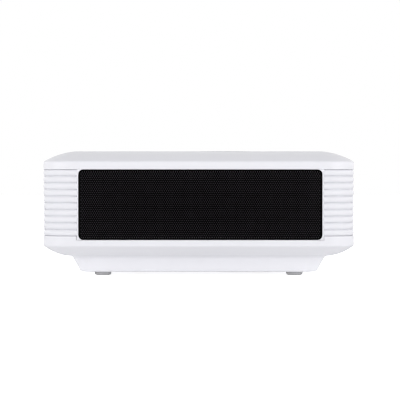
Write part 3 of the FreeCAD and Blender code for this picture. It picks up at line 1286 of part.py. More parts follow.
RACK_MODULE = 1.0
RACK_X = LOADER_X - TRAY_HALF + 10.0  # its pitch line
RACK_Z = (63.4, TRAY_UNDER)
RACK_Y = (-93.0, 57.0)
DRIVE_TEETH, WHEEL_TEETH, PINION_TEETH = 20, 44, 14
TRAIN_MODULE = 0.8
BACKLASH = 0.3
PRESSURE = 20.0
DRIVE_X = RACK_X + RACK_MODULE * DRIVE_TEETH / 2
DRIVE_Y = -88.0
PINION_Y = DRIVE_Y + TRAIN_MODULE * (WHEEL_TEETH + PINION_TEETH) / 2
PULLEY_RADIUS, MOTOR_PULLEY_RADIUS = 12.0, 3.0
MOTOR_X, MOTOR_Y = DRIVE_X - 1.0, PINION_Y + 34.0
BELT_Z = 49.0
SPINDLE = 1.5

HINGE_Y, HINGE_Z = 50.0, 59.5
LIFT_ANGLE = 4.2
DECK_Z = (58.0, 61.0)
PIN_Y = -106.0
CAM_Y = (-112.2, -109.4)
CAM_TRAVEL = 22.0
CAM_X = (LOADER_X - 30.0, LOADER_X + 30.0)
CAM_Z = (46.3, 66.3)
LIFT_PIN = (2.0, 62.0)  # radius, and height while playing
GUIDE_X = 17.5
GUIDE_Z = 64.0
SCREW_X, SCREW_Z = 22.5, 61.6
SLED_Y = -28.0
SLED_TRAVEL = 33.0
ROD_RADIUS = 1.5


def gear_wheel(teeth, module, z0, z1, tooth_at):
    """An involute spur gear about the Z axis with the middle of one tooth at an angle."""
    pitch = module * teeth / 2
    base = pitch * math.cos(math.radians(PRESSURE))
    tip, root = pitch + 0.9 * module, pitch - 1.2 * module
    spread = math.tan(math.radians(PRESSURE)) - math.radians(PRESSURE)
    half_pitch = (math.pi * module / 2 - BACKLASH / 2) / (2 * pitch)

    def half_angle(radius):
        if radius <= base:
            return half_pitch + spread
        roll = math.acos(base / radius)
        return half_pitch + spread - (math.tan(roll) - roll)

    low = max(base, root)
    radii = [low + (tip - low) * n / 4 for n in range(5)]
    points = []
    for tooth in range(teeth):
        middle = math.radians(tooth_at) + 2 * math.pi * tooth / teeth
        flank = [(r, -half_angle(r)) for r in radii] + [(r, half_angle(r)) for r in reversed(radii)]
        if root < low:
            flank = [(root, -half_angle(low)), *flank, (root, half_angle(low))]
        points += [(r * math.cos(middle + a), r * math.sin(middle + a)) for r, a in flank]
    return prism(points, z0, z1)


def make_rack():
    """Straight rack under the tray, its teeth facing the drive gear."""
    pitch = math.pi * RACK_MODULE
    tan = math.tan(math.radians(PRESSURE))
    half = (pitch / 2 - BACKLASH / 2) / 2
    tip, root = 0.9 * RACK_MODULE, -1.2 * RACK_MODULE
    y0, y1 = RACK_Y
    points = [(RACK_X - 4.5, y0), (RACK_X + root, y0)]
    n = math.ceil((y0 + 2 - DRIVE_Y) / pitch - 0.5)
    while DRIVE_Y + (n + 0.5) * pitch < y1 - 2:
        middle = DRIVE_Y + (n + 0.5) * pitch
        points += [
            (RACK_X + root, middle - half + root * tan), (RACK_X + tip, middle - half + tip * tan),
            (RACK_X + tip, middle + half - tip * tan), (RACK_X + root, middle + half - root * tan),
        ]
        n += 1
    points += [(RACK_X + root, y1), (RACK_X - 4.5, y1)]
    return prism(points, RACK_Z[0], RACK_Z[1] + 0.5)


def make_disc_tray():
    """Disc tray with two stepped wells, a slot for the pickup, side runners and the rack."""
    x0, x1 = LOADER_X - TRAY_HALF, LOADER_X + TRAY_HALF
    y0, y1 = TRAY_Y
    plate = slab(x0, x1, y0, y1, TRAY_UNDER, TRAY_TOP, 1.5)
    wells = [rod(DISC_WELL, (LOADER_X, DISC_Y, TRAY_TOP - 2), 5),
             rod(SMALL_WELL, (LOADER_X, DISC_Y, TRAY_TOP - 3), 5),
             slab(LOADER_X - 20, LOADER_X + 20, DISC_Y - 18, DISC_Y + 67, TRAY_UNDER - 1, TRAY_TOP + 1, 8.0)]
    wells += [rod(9.0, (LOADER_X + s * DISC_WELL, DISC_Y, TRAY_TOP - 3), 5) for s in (-1, 1)]
    lighten = [slab(LOADER_X - 50, LOADER_X + 50, 24.0, 52.0, TRAY_TOP - 2.5, TRAY_TOP + 1, 4.0)]
    runners = [box(x0, x0 + RUNNER_WIDTH, y0, y1 - 2, TRAY_RUNNER, TRAY_UNDER + 0.5),
               box(x1 - RUNNER_WIDTH, x1, y0, y1 - 2, TRAY_RUNNER, TRAY_UNDER + 0.5)]
    return fused([plate.cut(Part.makeCompound(wells + lighten)), *runners, make_rack()])


BEZEL = (TRAY_SLOT[0] - 0.8, TRAY_SLOT[1] - 0.8)


def make_tray_bezel():
    """Front of the tray, flush with the fascia, with a thin raised lip along the middle."""
    w, h = BEZEL
    y0 = FACE_Y - TO_FRONT
    front = facing_slab(LOADER_X - w / 2, LOADER_X + w / 2, DRAWN_SLOT_Z - h / 2, DRAWN_SLOT_Z + h / 2,
                        y0, TRAY_Y[0], 1.2)
    edges = [e for e in front.Edges if e.BoundBox.YMax < y0 + 0.01]
    return front.makeChamfer(0.5, edges)


def make_loader_chassis():
    """Open box of the disc loader: floor, side walls, tray ledges and guides, posts and bearings."""
    x0, x1 = LOADER_X - LOADER_HALF, LOADER_X + LOADER_HALF
    y0, y1 = CHASSIS_Y
    low = CHASSIS_FLOOR
    floor = box(x0, x1, y0, y1, low, CHASSIS_DECK)
    well = [box(LOADER_X - 31, LOADER_X + 31, -44.0, 57.0, low - 1, CHASSIS_DECK + 1),
            box(LOADER_X - 25, LOADER_X + 25, -106.8, -40.0, low - 1, CHASSIS_DECK + 1)]
    walls = [box(x0, x0 + LOADER_WALL, y0, y1, low, WALL_TOP),
             box(x1 - LOADER_WALL, x1, y0, y1, low, WALL_TOP),
             box(x0, x1, y1 - LOADER_WALL, y1, low, WALL_TOP),
             box(x0, x1, y0, y0 + LOADER_WALL, low, 61.0)]
    for a, b in ((x0, x0 + LOADER_WALL), (x1 - LOADER_WALL, x1)):
        walls.append(box(a, b, DISC_Y - 18, DISC_Y + 18, WALL_TOP - 1, BRIDGE_Z))
    rails = []
    for side in (-1, 1):
        a, b = sorted((LOADER_X + side * (LOADER_HALF - 1), LOADER_X + side * (LOADER_HALF - LOADER_WALL - LEDGE)))
        rails.append(box(a, b, y0, y1, TRAY_RUNNER - FIT - 2, TRAY_RUNNER - FIT))
        rails.append(box(a, b, y0, DISC_Y - 18, TRAY_TOP + FIT, TRAY_TOP + FIT + 2))
    guides = [box(a, b, CAM_Y[1] + FIT, CAM_Y[1] + FIT + 1.6, CHASSIS_DECK - 0.5, CHASSIS_DECK + 4)
              for a, b in ((LOADER_X - 24, LOADER_X - 8), (LOADER_X + 8, LOADER_X + 24),
                           (LOADER_X + 46, LOADER_X + 58))]
    spindles = [rod(SPINDLE, (DRIVE_X, DRIVE_Y, CHASSIS_DECK - 1), 65.6 - CHASSIS_DECK + 1),
                rod(3.5, (DRIVE_X, DRIVE_Y, CHASSIS_DECK - 0.5), 6.2),
                rod(3.5, (DRIVE_X, PINION_Y, CHASSIS_DECK - 0.5), 1.4),
                rod(SPINDLE, (DRIVE_X, PINION_Y, CHASSIS_DECK - 1), 10.5)]
    ears = []
    for side in (-1, 1):
        a, b = sorted((LOADER_X + side * 29.3, LOADER_X + side * 33.0))
        ear = box(a, b, HINGE_Y - 5, HINGE_Y + 5, CHASSIS_DECK - 1, HINGE_Z + 3.4)
        foot = box(min(a, LOADER_X + side * 31), max(b, LOADER_X + side * 31), HINGE_Y - 5, HINGE_Y + 5,
                   low, CHASSIS_DECK)
        ears.append(ear.fuse(foot))
    chassis = fused([floor.cut(Part.makeCompound(well)), *walls, *rails, *guides, *spindles, *ears])
    holes = [rod(2.0 + RUNNING, (LOADER_X - 40, HINGE_Y, HINGE_Z), 80, (1, 0, 0))]
    holes += [rod(1.5, (x, y - TO_FRONT, low - 1), 4) for x, y in LOADER_POSTS]
    holes.append(rod(4.0, (MOTOR_X, MOTOR_Y, low - 1), 4))
    return chassis.cut(Part.makeCompound(holes))


def make_clamp_bridge():
    """Steel strap over the tray that carries the disc clamp."""
    x0, x1 = LOADER_X - LOADER_HALF, LOADER_X + LOADER_HALF
    strap = slab(x0, x1, DISC_Y - 18, DISC_Y + 18, BRIDGE_Z, BRIDGE_Z + 1.5, 2.0)
    ribs = [box(x0 + 8, x1 - 8, y, y + 1.2, BRIDGE_Z + 1.4, BRIDGE_Z + 4.0) for y in (DISC_Y - 17.4, DISC_Y + 16.2)]
    hole = rod(9.4, (LOADER_X, DISC_Y, BRIDGE_Z - 1), 4)
    return fused([strap.cut(hole), *ribs])


def make_disc_clamp():
    """Magnetic puck that hangs in the strap and presses the disc to the turntable."""
    clamp = fused([rod(15.0, (LOADER_X, DISC_Y, TRAY_TOP + 0.4), 3.6),
                   rod(9.0, (LOADER_X, DISC_Y, TRAY_TOP + 3.9), BRIDGE_Z + 2 - TRAY_TOP - 3.9),
                   rod(12.0, (LOADER_X, DISC_Y, BRIDGE_Z + 1.8), 1.2)])
    return clamp.cut(rod(8.2, (LOADER_X, DISC_Y, TRAY_TOP - 1), 4.6))


def make_drive_gear():
    """Double gear: the small one moves the tray's rack, the large one is driven by the pinion."""
    small = gear_wheel(DRIVE_TEETH, RACK_MODULE, 63.6, 66.4, 180.0)
    wheel = gear_wheel(WHEEL_TEETH, TRAIN_MODULE, 52.0, 55.6, 90.0)
    hub = rod(6.0, (0, 0, 55.0), 9.0)
    gear = fused([small, wheel, hub]).cut(rod(SPINDLE + RUNNING, (0, 0, 50), 15.9))
    light = [rod(3.2, (10.8 * math.cos(a), 10.8 * math.sin(a), 51), 6)
             for a in (math.radians(30 + 60 * n) for n in range(6))]
    gear = gear.cut(Part.makeCompound(light))
    gear.translate(Vector(DRIVE_X, DRIVE_Y, 0))
    return gear


def grooved_pulley(radius, z_middle, half):
    """A pulley with a V groove, about the Z axis."""
    return turned(
        [(0, z_middle - half), (radius + 0.9, z_middle - half)],
        [(radius + 0.9, z_middle - half), (radius + 0.9, z_middle - half + 0.5)],
        [(radius + 0.9, z_middle - half + 0.5), (radius - 0.7, z_middle - 0.7)],
        [(radius - 0.7, z_middle - 0.7), (radius - 0.7, z_middle + 0.7)],
        [(radius - 0.7, z_middle + 0.7), (radius + 0.9, z_middle + half - 0.5)],
        [(radius + 0.9, z_middle + half - 0.5), (radius + 0.9, z_middle + half)],
        [(radius + 0.9, z_middle + half), (0, z_middle + half)],
        [(0, z_middle + half), (0, z_middle - half)],
    )


def make_pulley_gear():
    """Large belt pulley with the pinion of the gear train on top."""
    pinion = gear_wheel(PINION_TEETH, TRAIN_MODULE, BELT_Z + 1.5, 55.4, 270.0 + 180.0 / PINION_TEETH)
    pulley = grooved_pulley(PULLEY_RADIUS, BELT_Z, 1.8)
    gear = fused([pinion, pulley]).cut(rod(SPINDLE + RUNNING, (0, 0, 40), 30))
    gear.translate(Vector(DRIVE_X, PINION_Y, 0))
    return gear


def make_motor_pulley():
    """Small pulley on the loading motor's shaft, with the shaft."""
    pulley = grooved_pulley(MOTOR_PULLEY_RADIUS, BELT_Z, 1.8)
    shaft = rod(1.0, (0, 0, CHASSIS_FLOOR - 4), BELT_Z + 2.6 - CHASSIS_FLOOR + 4)
    whole = fused([pulley, shaft])
    whole.translate(Vector(MOTOR_X, MOTOR_Y, 0))
    return whole


def make_drive_belt():
    """Rubber belt round the two pulleys."""
    def loop(grow):
        far = Vector(MOTOR_X, MOTOR_Y, 0) - Vector(DRIVE_X, PINION_Y, 0)
        big, little = PULLEY_RADIUS - 0.7 + grow, MOTOR_PULLEY_RADIUS - 0.7 + grow
        along = math.atan2(far.y, far.x)
        open_angle = math.acos((big - little) / far.Length)
        points = []
        for turn in (along + open_angle, along - open_angle):
            points.append(((DRIVE_X + big * math.cos(turn), PINION_Y + big * math.sin(turn)),
                           (MOTOR_X + little * math.cos(turn), MOTOR_Y + little * math.sin(turn))))
        (a0, a1), (b0, b1) = points
        sheet = prism([a0, a1, b1, b0], BELT_Z - 0.5, BELT_Z + 0.5)
        return fused([sheet, rod(big, (DRIVE_X, PINION_Y, BELT_Z - 0.5), 1.0),
                      rod(little, (MOTOR_X, MOTOR_Y, BELT_Z - 0.5), 1.0)])
    return loop(1.06).cut(loop(0.06))


def make_loading_motor():
    """Flat can motor under the loader's floor."""
    can = rod(12.0, (MOTOR_X, MOTOR_Y, CHASSIS_FLOOR - 12.5), 12.5)
    boss = rod(3.0, (MOTOR_X, MOTOR_Y, CHASSIS_FLOOR - 0.5), 1.6)
    bore = rod(1.0 + RUNNING, (MOTOR_X, MOTOR_Y, CHASSIS_FLOOR - 4.5), 8)
    return fused([can, boss]).cut(bore)


def lowered(shape):
    """Swings a piece of the pickup deck from its playing position down to rest."""
    moved = shape.copy()
    moved.rotate(Vector(0, HINGE_Y, HINGE_Z), Vector(1, 0, 0), LIFT_ANGLE)
    return moved


def make_cam_slider():
    """Cross slider with the sloping slot that lifts the front of the pickup deck."""
    x0, x1 = CAM_X
    body = box(x0, x1, CAM_Y[0], CAM_Y[1], CAM_Z[0], CAM_Z[1] - 6)
    rise = (HINGE_Y - sum(CAM_Y) / 2) * math.sin(math.radians(LIFT_ANGLE))
    low = LIFT_PIN[1] - rise
    gap = LIFT_PIN[0] + 0.35
    run = CAM_TRAVEL
    slope = math.atan2(rise, run)
    length = math.hypot(rise, run)
    slot = fused([box(0, length, -50, 50, -gap, gap), rod(gap, (0, -50, 0), 100, (0, 1, 0)),
                  rod(gap, (length, -50, 0), 100, (0, 1, 0))])
    slot.rotate(ORIGIN, Vector(0, 1, 0), 180 + math.degrees(slope))
    slot.translate(Vector(LOADER_X, (CAM_Y[0] + CAM_Y[1]) / 2, low))
    frame = box(LOADER_X - run - 6, LOADER_X + 6, CAM_Y[0], CAM_Y[1], CAM_Z[0], CAM_Z[1])
    return fused([body, frame]).cut(slot)


def make_traverse_frame():
    """Pickup deck: a moulded plate on two hinge pins, with the lift pin at its front."""
    x = LOADER_X
    z0, z1 = DECK_Z
    deck = fused([slab(x - 28, x + 28, -40.0, 54.0, z0, z1, 2.0),
                  slab(x - 22, x + 22, PIN_Y + 2.0, -34.0, z0, z1, 2.0)])
    deck = deck.cut(slab(x - 15, x + 15, DISC_Y + 15.5, 30.0, z0 - 1, z1 + 1, 3.0))
    deck = deck.cut(rod(5.0, (x, DISC_Y, z0 - 1), 5))
    pins = [rod(2.0, (x + side * 27.0, HINGE_Y, HINGE_Z), 5.6, (side, 0, 0)) for side in (-1, 1)]
    lift = rod(LIFT_PIN[0], (x, PIN_Y + 4, LIFT_PIN[1]), 10.2, (0, -1, 0))
    lug = box(x - 3, x + 3, PIN_Y + 2, PIN_Y + 7, z0, LIFT_PIN[1] + 3)
    blocks = []
    for side in (-1, 1):
        for y in (DISC_Y + 16.0, 30.0):
            block = box(x + side * GUIDE_X - 2.6, x + side * GUIDE_X + 2.6, y, y + 4, z1 - 0.5, GUIDE_Z + 2.0)
            blocks.append(block.cut(rod(ROD_RADIUS, (x + side * GUIDE_X, y - 1, GUIDE_Z), 6, (0, 1, 0))))
    bearing = box(x + SCREW_X - 2.4, x + SCREW_X + 2.4, DISC_Y + 16.0, DISC_Y + 19.0, z1 - 0.5, 65.0)
    deck = deck.cut(box(x + SCREW_X - 2.4, x + SCREW_X + 2.4, DISC_Y + 19.3, 34.5, z0 - 1, z1 + 1))
    deck = deck.cut(box(x + SCREW_X - 4.5, x + 29.0, 34.0, 46.6, z0 - 1, z1 + 1))
    whole = fused([deck, *pins, lift, lug, *blocks, bearing])
    return lowered(whole.cut(rod(1.0 + RUNNING, (x + SCREW_X, DISC_Y + 10, SCREW_Z), 12, (0, 1, 0))))


def make_traverse_motors():
    """Disc motor under the deck and the small motor of the sled's screw."""
    x = LOADER_X
    spindle = fused([rod(12.5, (x, DISC_Y, DECK_Z[0] - 7.5), 7.5), rod(4.8, (x, DISC_Y, DECK_Z[0] - 0.5), 7.0)])
    spindle = spindle.cut(rod(1.0 + RUNNING, (x, DISC_Y, DECK_Z[0] - 6), 20))
    sled = fused([rod(4.2, (x + SCREW_X, 34.3, SCREW_Z), 12.0, (0, 1, 0)),
                  box(x + SCREW_X - 3.5, x + SCREW_X + 3.5, 46.2, 48.0, DECK_Z[1], SCREW_Z + 3.4)])
    sled = sled.cut(rod(1.0 + RUNNING, (x + SCREW_X, 33.0, SCREW_Z), 9.0, (0, 1, 0)))
    return Part.makeCompound([lowered(spindle), lowered(sled)])


def make_turntable():
    """Turntable with a rubber-topped rim, a centring cone and its shaft."""
    profile = turned(
        [(0, 52.5), (1.0, 52.5)],
        [(1.0, 52.5), (1.0, 66.5)],
        [(1.0, 66.5), (6.0, 66.5)],
        [(6.0, 66.5), (6.0, 69.0)],
        [(6.0, 69.0), (15.5, 69.0)],
        [(15.5, 69.0), (15.5, 71.3)],
        [(15.5, 71.3), (7.4, 71.3)],
        [(7.4, 71.3), (6.8, 72.6)],
        [(6.8, 72.6), (4.5, 73.5)],
        [(4.5, 73.5), (0, 73.5)],
        [(0, 73.5), (0, 52.5)],
    )
    profile.translate(Vector(LOADER_X, DISC_Y, 0))
    return lowered(profile)


def make_guide_rods():
    """Two ground rods the sled runs on."""
    rods = [rod(ROD_RADIUS, (LOADER_X + side * GUIDE_X, DISC_Y + 15.0, GUIDE_Z), 51.0 - 0.5, (0, 1, 0))
            for side in (-1, 1)]
    return Part.makeCompound([lowered(one) for one in rods])


def make_pickup_sled():
    """Pickup with its lens on a suspended holder, bored for the rods, with a nut for the screw."""
    x, y = LOADER_X, SLED_Y
    low, high = 61.6, 66.4
    body = box(x - 21.0, x + 21.0, y - 3.5, y + 13.0, low, high)
    deck = box(x - 13.0, x + 13.0, y - 3.5, y + 13.0, 56.0, low + 1)
    nut = fused([box(x + 20.0, x + SCREW_X + 2.1, y + 2.0, y + 8.0, low, 65.4),
                 box(x + SCREW_X - 2.1, x + SCREW_X + 2.1, y + 2.0, y + 8.0, SCREW_Z - 2.3, 65.4)])
    plinth = slab(x - 8.0, x + 8.0, y - 2.5, y + 11.0, high - 0.5, high + 1.3, 2.0)
    lens_holder = rod(4.0, (x, y + 4.0, high + 1.0), 1.0)
    sled = fused([body, deck, nut, plinth, lens_holder])
    dish = Part.makeSphere(6.0, Vector(x, y + 4.0, high + 2.0 + 5.4))
    bores = [rod(ROD_RADIUS + RUNNING, (x + side * GUIDE_X, y - 20, GUIDE_Z), 50, (0, 1, 0)) for side in (-1, 1)]
    bores.append(rod(1.5 + RUNNING, (x + SCREW_X, y - 20, SCREW_Z), 50, (0, 1, 0)))
    return lowered(sled.cut(Part.makeCompound(bores)).cut(dish))


def make_lead_screw():
    """Screw that moves the sled, held by the sled motor and the front bearing."""
    x = LOADER_X + SCREW_X
    screw = fused([rod(1.5, (x, DISC_Y + 19.3, SCREW_Z), 34.0 - DISC_Y - 19.3, (0, 1, 0)),
                   rod(1.0, (x, DISC_Y + 16.3, SCREW_Z), 41.0 - DISC_Y - 16.3, (0, 1, 0))])
    return lowered(screw)


# ------------------------------------------------------------------ levelling foot and screws
FOOT_PAD = (12.5, 0.6, 2.6)


def make_foot_pad():
    """Rubber pad of the levelling foot, with a socket for the screw's ball end."""
    radius, z0, z1 = FOOT_PAD
    pad = turned(
        [(0, z0), (radius - 0.8, z0)],
        [(radius - 0.8, z0), (radius, z0 + 0.8)],
        [(radius, z0 + 0.8), (radius, z1)],
        [(radius, z1), (0, z1)],
        [(0, z1), (0, z0)],
    )
    pad.translate(Vector(0, LEVEL_FOOT_Y, 0))
    return pad.cut(rod(2.0 + RUNNING, (0, LEVEL_FOOT_Y, 1.2), 5))


def make_foot_screw():
    """Levelling screw with its knurled finger wheel."""
    wheel = rod(9.0, (0, 0, 2.9), 3.6)
    notches = [rod(0.9, (9.4 * math.cos(a), 9.4 * math.sin(a), 2), 6)
               for a in (2 * math.pi * n / 24 for n in range(24))]
    screw = fused([wheel.cut(Part.makeCompound(notches)), rod(LEVEL_STEM, (0, 0, 6.0), 15.5),
                   rod(2.0, (0, 0, 1.5), 2.0)])
    screw.translate(Vector(0, LEVEL_FOOT_Y, 0))
    return screw


MOUNT_SCREW = (2.4, 1.5, 1.2, 7.0)  # head radius and height, shank radius and length


def make_fixings():
    """Steel fixings: the case screws, the small screws of the units inside, and the focus ring's clip."""
    head, height, shank, length = MOUNT_SCREW
    seats = [(x, y, CHASSIS_DECK + LOADER_RISE) for x, y in LOADER_POSTS]
    seats += [(x, y, SOCKET_Z) for x, y in BOARD_POSTS]
    seats += [(x, y, SUPPLY_Z + 1.6) for x, y in SUPPLY_POSTS]
    seats += [(x, y, HOUSING_FLOOR + HOUSING_WALL) for x, y in HOUSING_POSTS]
    screws = [*case_screws(), moved(focus_clip(), OPTICS)]
    for x, y, z in seats:
        cap = rod(head, (x, y, z), height).cut(rod(0.9, (x, y, z + 0.7), 2))
        screws.append(cap.fuse(rod(shank, (x, y, z - length), length + 0.1)).removeSplitter())
    return Part.makeCompound(screws)


OPTICS = Vector(0, TO_FRONT, 0)
LOADER = Vector(0, TO_FRONT, LOADER_RISE)
AS_DRAWN = Vector(0, 0, 0)


def moved(shape, by):
    """A copy of a shape moved from where it is drawn to its place in the case."""
    copy = shape.copy()
    copy.translate(by)
    return copy


def main():
    os.makedirs("parts", exist_ok=True)
    for by, makers in PIECE_MAKERS:
        for name, make in makers:
            save(name, moved(make(), by))


PIECE_MAKERS = (
    (AS_DRAWN, (
        ("top_cover", make_top_cover),
        ("ribbed_frame", make_ribbed_frame),
        ("bottom_shell", make_bottom_shell),
        ("speaker_grille_right", lambda: make_grille(90, SIDE_WINDOW_SHIFT)),
        ("speaker_grille_left", lambda: make_grille(270, -SIDE_WINDOW_SHIFT)),
        ("front_fascia", make_front_fascia),
        ("rear_panel", make_rear_panel),
        ("rubber_feet", make_rubber_feet),
        ("mount_inserts", make_mount_inserts),
        ("fixings", make_fixings),
        ("lens_trim_ring", make_lens_trim_ring),
        ("ir_window", make_ir_window),
        ("front_board", make_front_board),
        ("open_close_button", make_open_close_button),
        ("speaker_baskets", make_speaker_baskets),
        ("speaker_cones", make_speaker_cones),
        ("digital_sockets", make_digital_sockets),
        ("audio_jacks", make_audio_jacks),
        ("ac_inlet", make_ac_inlet),
        ("switch_body", make_switch_body),
        ("switch_rocker", make_switch_rocker),
        ("fan_frame", make_fan_frame),
        ("fan_rotor", make_fan_rotor),
        ("circuit_boards", make_circuit_boards),
        ("board_parts", make_board_parts),
        ("key_board", make_key_board),
        ("ok_button", make_ok_button),
        ("power_button", make_power_button),
        ("right_button", lambda: make_arrow_button(0)),
        ("up_button", lambda: make_arrow_button(90)),
        ("left_button", lambda: make_arrow_button(180)),
        ("down_button", lambda: make_arrow_button(270)),
        ("foot_pad", make_foot_pad),
        ("foot_screw", make_foot_screw),
    )),
    (OPTICS, (
        ("optical_housing", make_optical_housing),
        ("lens_mount", make_lens_mount),
        ("focus_ring", make_focus_ring),
        ("lens_barrel", make_lens_barrel),
        ("lens_elements", make_lens_elements),
        ("light_lenses", make_light_lenses),
        ("lcd_panel", make_lcd_panel),
        ("lamp_plate", make_lamp_plate),
        ("heat_sink", make_heat_sink),
    )),
    (LOADER, (
        ("loader_chassis", make_loader_chassis),
        ("clamp_bridge", make_clamp_bridge),
        ("disc_clamp", make_disc_clamp),
        ("disc_tray", make_disc_tray),
        ("tray_bezel", make_tray_bezel),
        ("drive_gear", make_drive_gear),
        ("pulley_gear", make_pulley_gear),
        ("motor_pulley", make_motor_pulley),
        ("drive_belt", make_drive_belt),
        ("loading_motor", make_loading_motor),
        ("cam_slider", make_cam_slider),
        ("traverse_frame", make_traverse_frame),
        ("traverse_motors", make_traverse_motors),
        ("turntable", make_turntable),
        ("guide_rods", make_guide_rods),
        ("pickup_sled", make_pickup_sled),
        ("lead_screw", make_lead_screw),
    )),
)

main()
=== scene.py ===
import bpy
import math
import numpy as np
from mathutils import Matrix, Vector
from mathutils.bvhtree import BVHTree


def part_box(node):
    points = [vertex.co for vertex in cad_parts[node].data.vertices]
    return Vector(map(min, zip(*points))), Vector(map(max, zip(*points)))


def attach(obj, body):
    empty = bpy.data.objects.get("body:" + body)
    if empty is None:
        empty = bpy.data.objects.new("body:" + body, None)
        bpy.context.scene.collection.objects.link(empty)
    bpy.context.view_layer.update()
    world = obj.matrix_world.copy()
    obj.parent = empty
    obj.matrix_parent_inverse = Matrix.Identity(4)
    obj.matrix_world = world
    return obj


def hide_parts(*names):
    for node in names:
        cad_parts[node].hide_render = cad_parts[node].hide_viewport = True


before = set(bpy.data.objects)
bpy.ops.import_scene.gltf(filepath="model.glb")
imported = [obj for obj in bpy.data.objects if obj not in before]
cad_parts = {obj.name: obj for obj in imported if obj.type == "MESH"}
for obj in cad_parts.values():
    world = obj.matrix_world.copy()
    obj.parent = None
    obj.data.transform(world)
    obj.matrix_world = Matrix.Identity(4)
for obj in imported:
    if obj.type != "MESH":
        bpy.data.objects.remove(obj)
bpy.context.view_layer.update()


# ---------------------------------------------------------------- white mouldings of the case
# Top cover, ribbed frame and bottom shell: white ABS from polished tools, with the faint ripple of
# such skins. The frame is clamped between the other two by four screws from below.

def fill(tree, node, **sockets):
    """Sets or links a node's sockets; Two_Words stands for the socket "Two Words"."""
    for key, value in sockets.items():
        socket = node.inputs[key.replace("_", " ")]
        if isinstance(value, bpy.types.NodeSocket):
            tree.links.new(value, socket)
        else:
            socket.default_value = value
    return node


def put(tree, kind, **sockets):
    """A new shader node, with its sockets filled in."""
    return fill(tree, tree.nodes.new(kind), **sockets)


def object_place(tree):
    """The place on the piece, in metres."""
    return tree.nodes.new("ShaderNodeTexCoord").outputs["Object"]


def noise(tree, at, **sockets):
    """The value of a noise texture at a place, from 0 to 1."""
    return put(tree, "ShaderNodeTexNoise", Vector=at, **sockets).outputs["Fac"]


def ranged(tree, value, **sockets):
    """A value carried from one range, From_Min to From_Max, to another."""
    return put(tree, "ShaderNodeMapRange", Value=value, **sockets).outputs["Result"]


def math_node(tree, what, a, b=None, c=None):
    """One step of arithmetic on numbers or sockets."""
    node = tree.nodes.new("ShaderNodeMath")
    node.operation = what
    for place, value in enumerate((a, b, c)):
        if isinstance(value, (int, float)):
            node.inputs[place].default_value = value
        elif value is not None:
            tree.links.new(value, node.inputs[place])
    return node.outputs[0]


def new_group(name, takes, gives):
    """An empty node group; takes and gives are {name: (socket type, value)}."""
    tree = bpy.data.node_groups.new(name, "ShaderNodeTree")
    for label, (kind, value) in takes.items():
        socket = tree.interface.new_socket(label, in_out="INPUT", socket_type="NodeSocket" + kind)
        socket.default_value = value
    for label, kind in gives.items():
        tree.interface.new_socket(label, in_out="OUTPUT", socket_type="NodeSocket" + kind)
    return tree, tree.nodes.new("NodeGroupInput").outputs, tree.nodes.new("NodeGroupOutput")


def use_group(tree, group, **sockets):
    """The outputs of a group, used in a tree."""
    node = tree.nodes.new("ShaderNodeGroup")
    node.node_tree = group
    return fill(tree, node, **sockets).outputs


def moulded_skin_group():
    """Fine grain and long ripple of a moulded skin, its slow colour drift and its handling marks."""
    tree, takes, gives = new_group(
        "moulded_skin",
        {"Grain": ("Float", 2600.0), "Ripple": ("Float", 260.0), "Ripple Share": ("Float", 0.5)},
        {"Height": "Float", "Drift": "Float", "Smudge": "Float"},
    )
    at = object_place(tree)
    grain = noise(tree, at, Scale=takes["Grain"], Detail=4.0, Roughness=0.6)
    ripple = noise(tree, at, Scale=takes["Ripple"], Detail=2.0, Roughness=0.45)
    height = tree.nodes.new("ShaderNodeMix")
    for place, value in ((0, takes["Ripple Share"]), (2, grain), (3, ripple)):  # 2 and 3 mix numbers
        tree.links.new(value, height.inputs[place])
    fill(tree, gives, Height=height.outputs[0], Drift=noise(tree, at, Scale=14.0, Detail=3.0),
         Smudge=noise(tree, at, Scale=26.0, Detail=2.0, Roughness=0.4))
    return tree


def settled_dust_group():
    """Dust on faces that look up, in patches."""
    tree, takes, gives = new_group("settled_dust", {"Amount": ("Float", 0.1)}, {"Dust": "Float"})
    fleck = noise(tree, object_place(tree), Scale=420.0, Detail=6.0, Roughness=0.7)
    normal = tree.nodes.new("ShaderNodeNewGeometry").outputs["Normal"]
    up = math_node(tree, "MAXIMUM", put(tree, "ShaderNodeSeparateXYZ", Vector=normal).outputs["Z"], 0.0)
    patch = math_node(tree, "SMOOTH_MAX", math_node(tree, "SUBTRACT", fleck, 0.5), 0.0, 0.1)
    amount = math_node(tree, "MULTIPLY", math_node(tree, "MULTIPLY", up, patch), takes["Amount"])
    most = 0.25  # that a patch gets to
    fill(tree, gives, Dust=math_node(tree, "MULTIPLY", amount, 1 / most))
    return tree


MOULDED_SKIN = moulded_skin_group()
SETTLED_DUST = settled_dust_group()


def tint_between(tree, mask, low, high):
    """A colour that goes from low, where the mask is 0, to high, where it is 1."""
    node = tree.nodes.new("ShaderNodeMix")
    node.data_type = "RGBA"
    tree.links.new(mask, node.inputs[0])
    for place, value in ((6, low), (7, high)):  # 6 and 7 mix colours, which come out at 2
        if isinstance(value, tuple):
            node.inputs[place].default_value = (*value, 1.0)
        else:
            tree.links.new(value, node.inputs[place])
    return node.outputs[2]


def new_material(name):
    """A material, with its node tree and its shader."""
    material = bpy.data.materials.new(name)
    material.use_nodes = True
    return material, material.node_tree, material.node_tree.nodes["Principled BSDF"]


def relief(tree, height, depth):
    """Bump on the material's shader; depth is in metres."""
    bump = put(tree, "ShaderNodeBump", Strength=1.0, Distance=depth, Height=height)
    tree.links.new(bump.outputs["Normal"], tree.nodes["Principled BSDF"].inputs["Normal"])


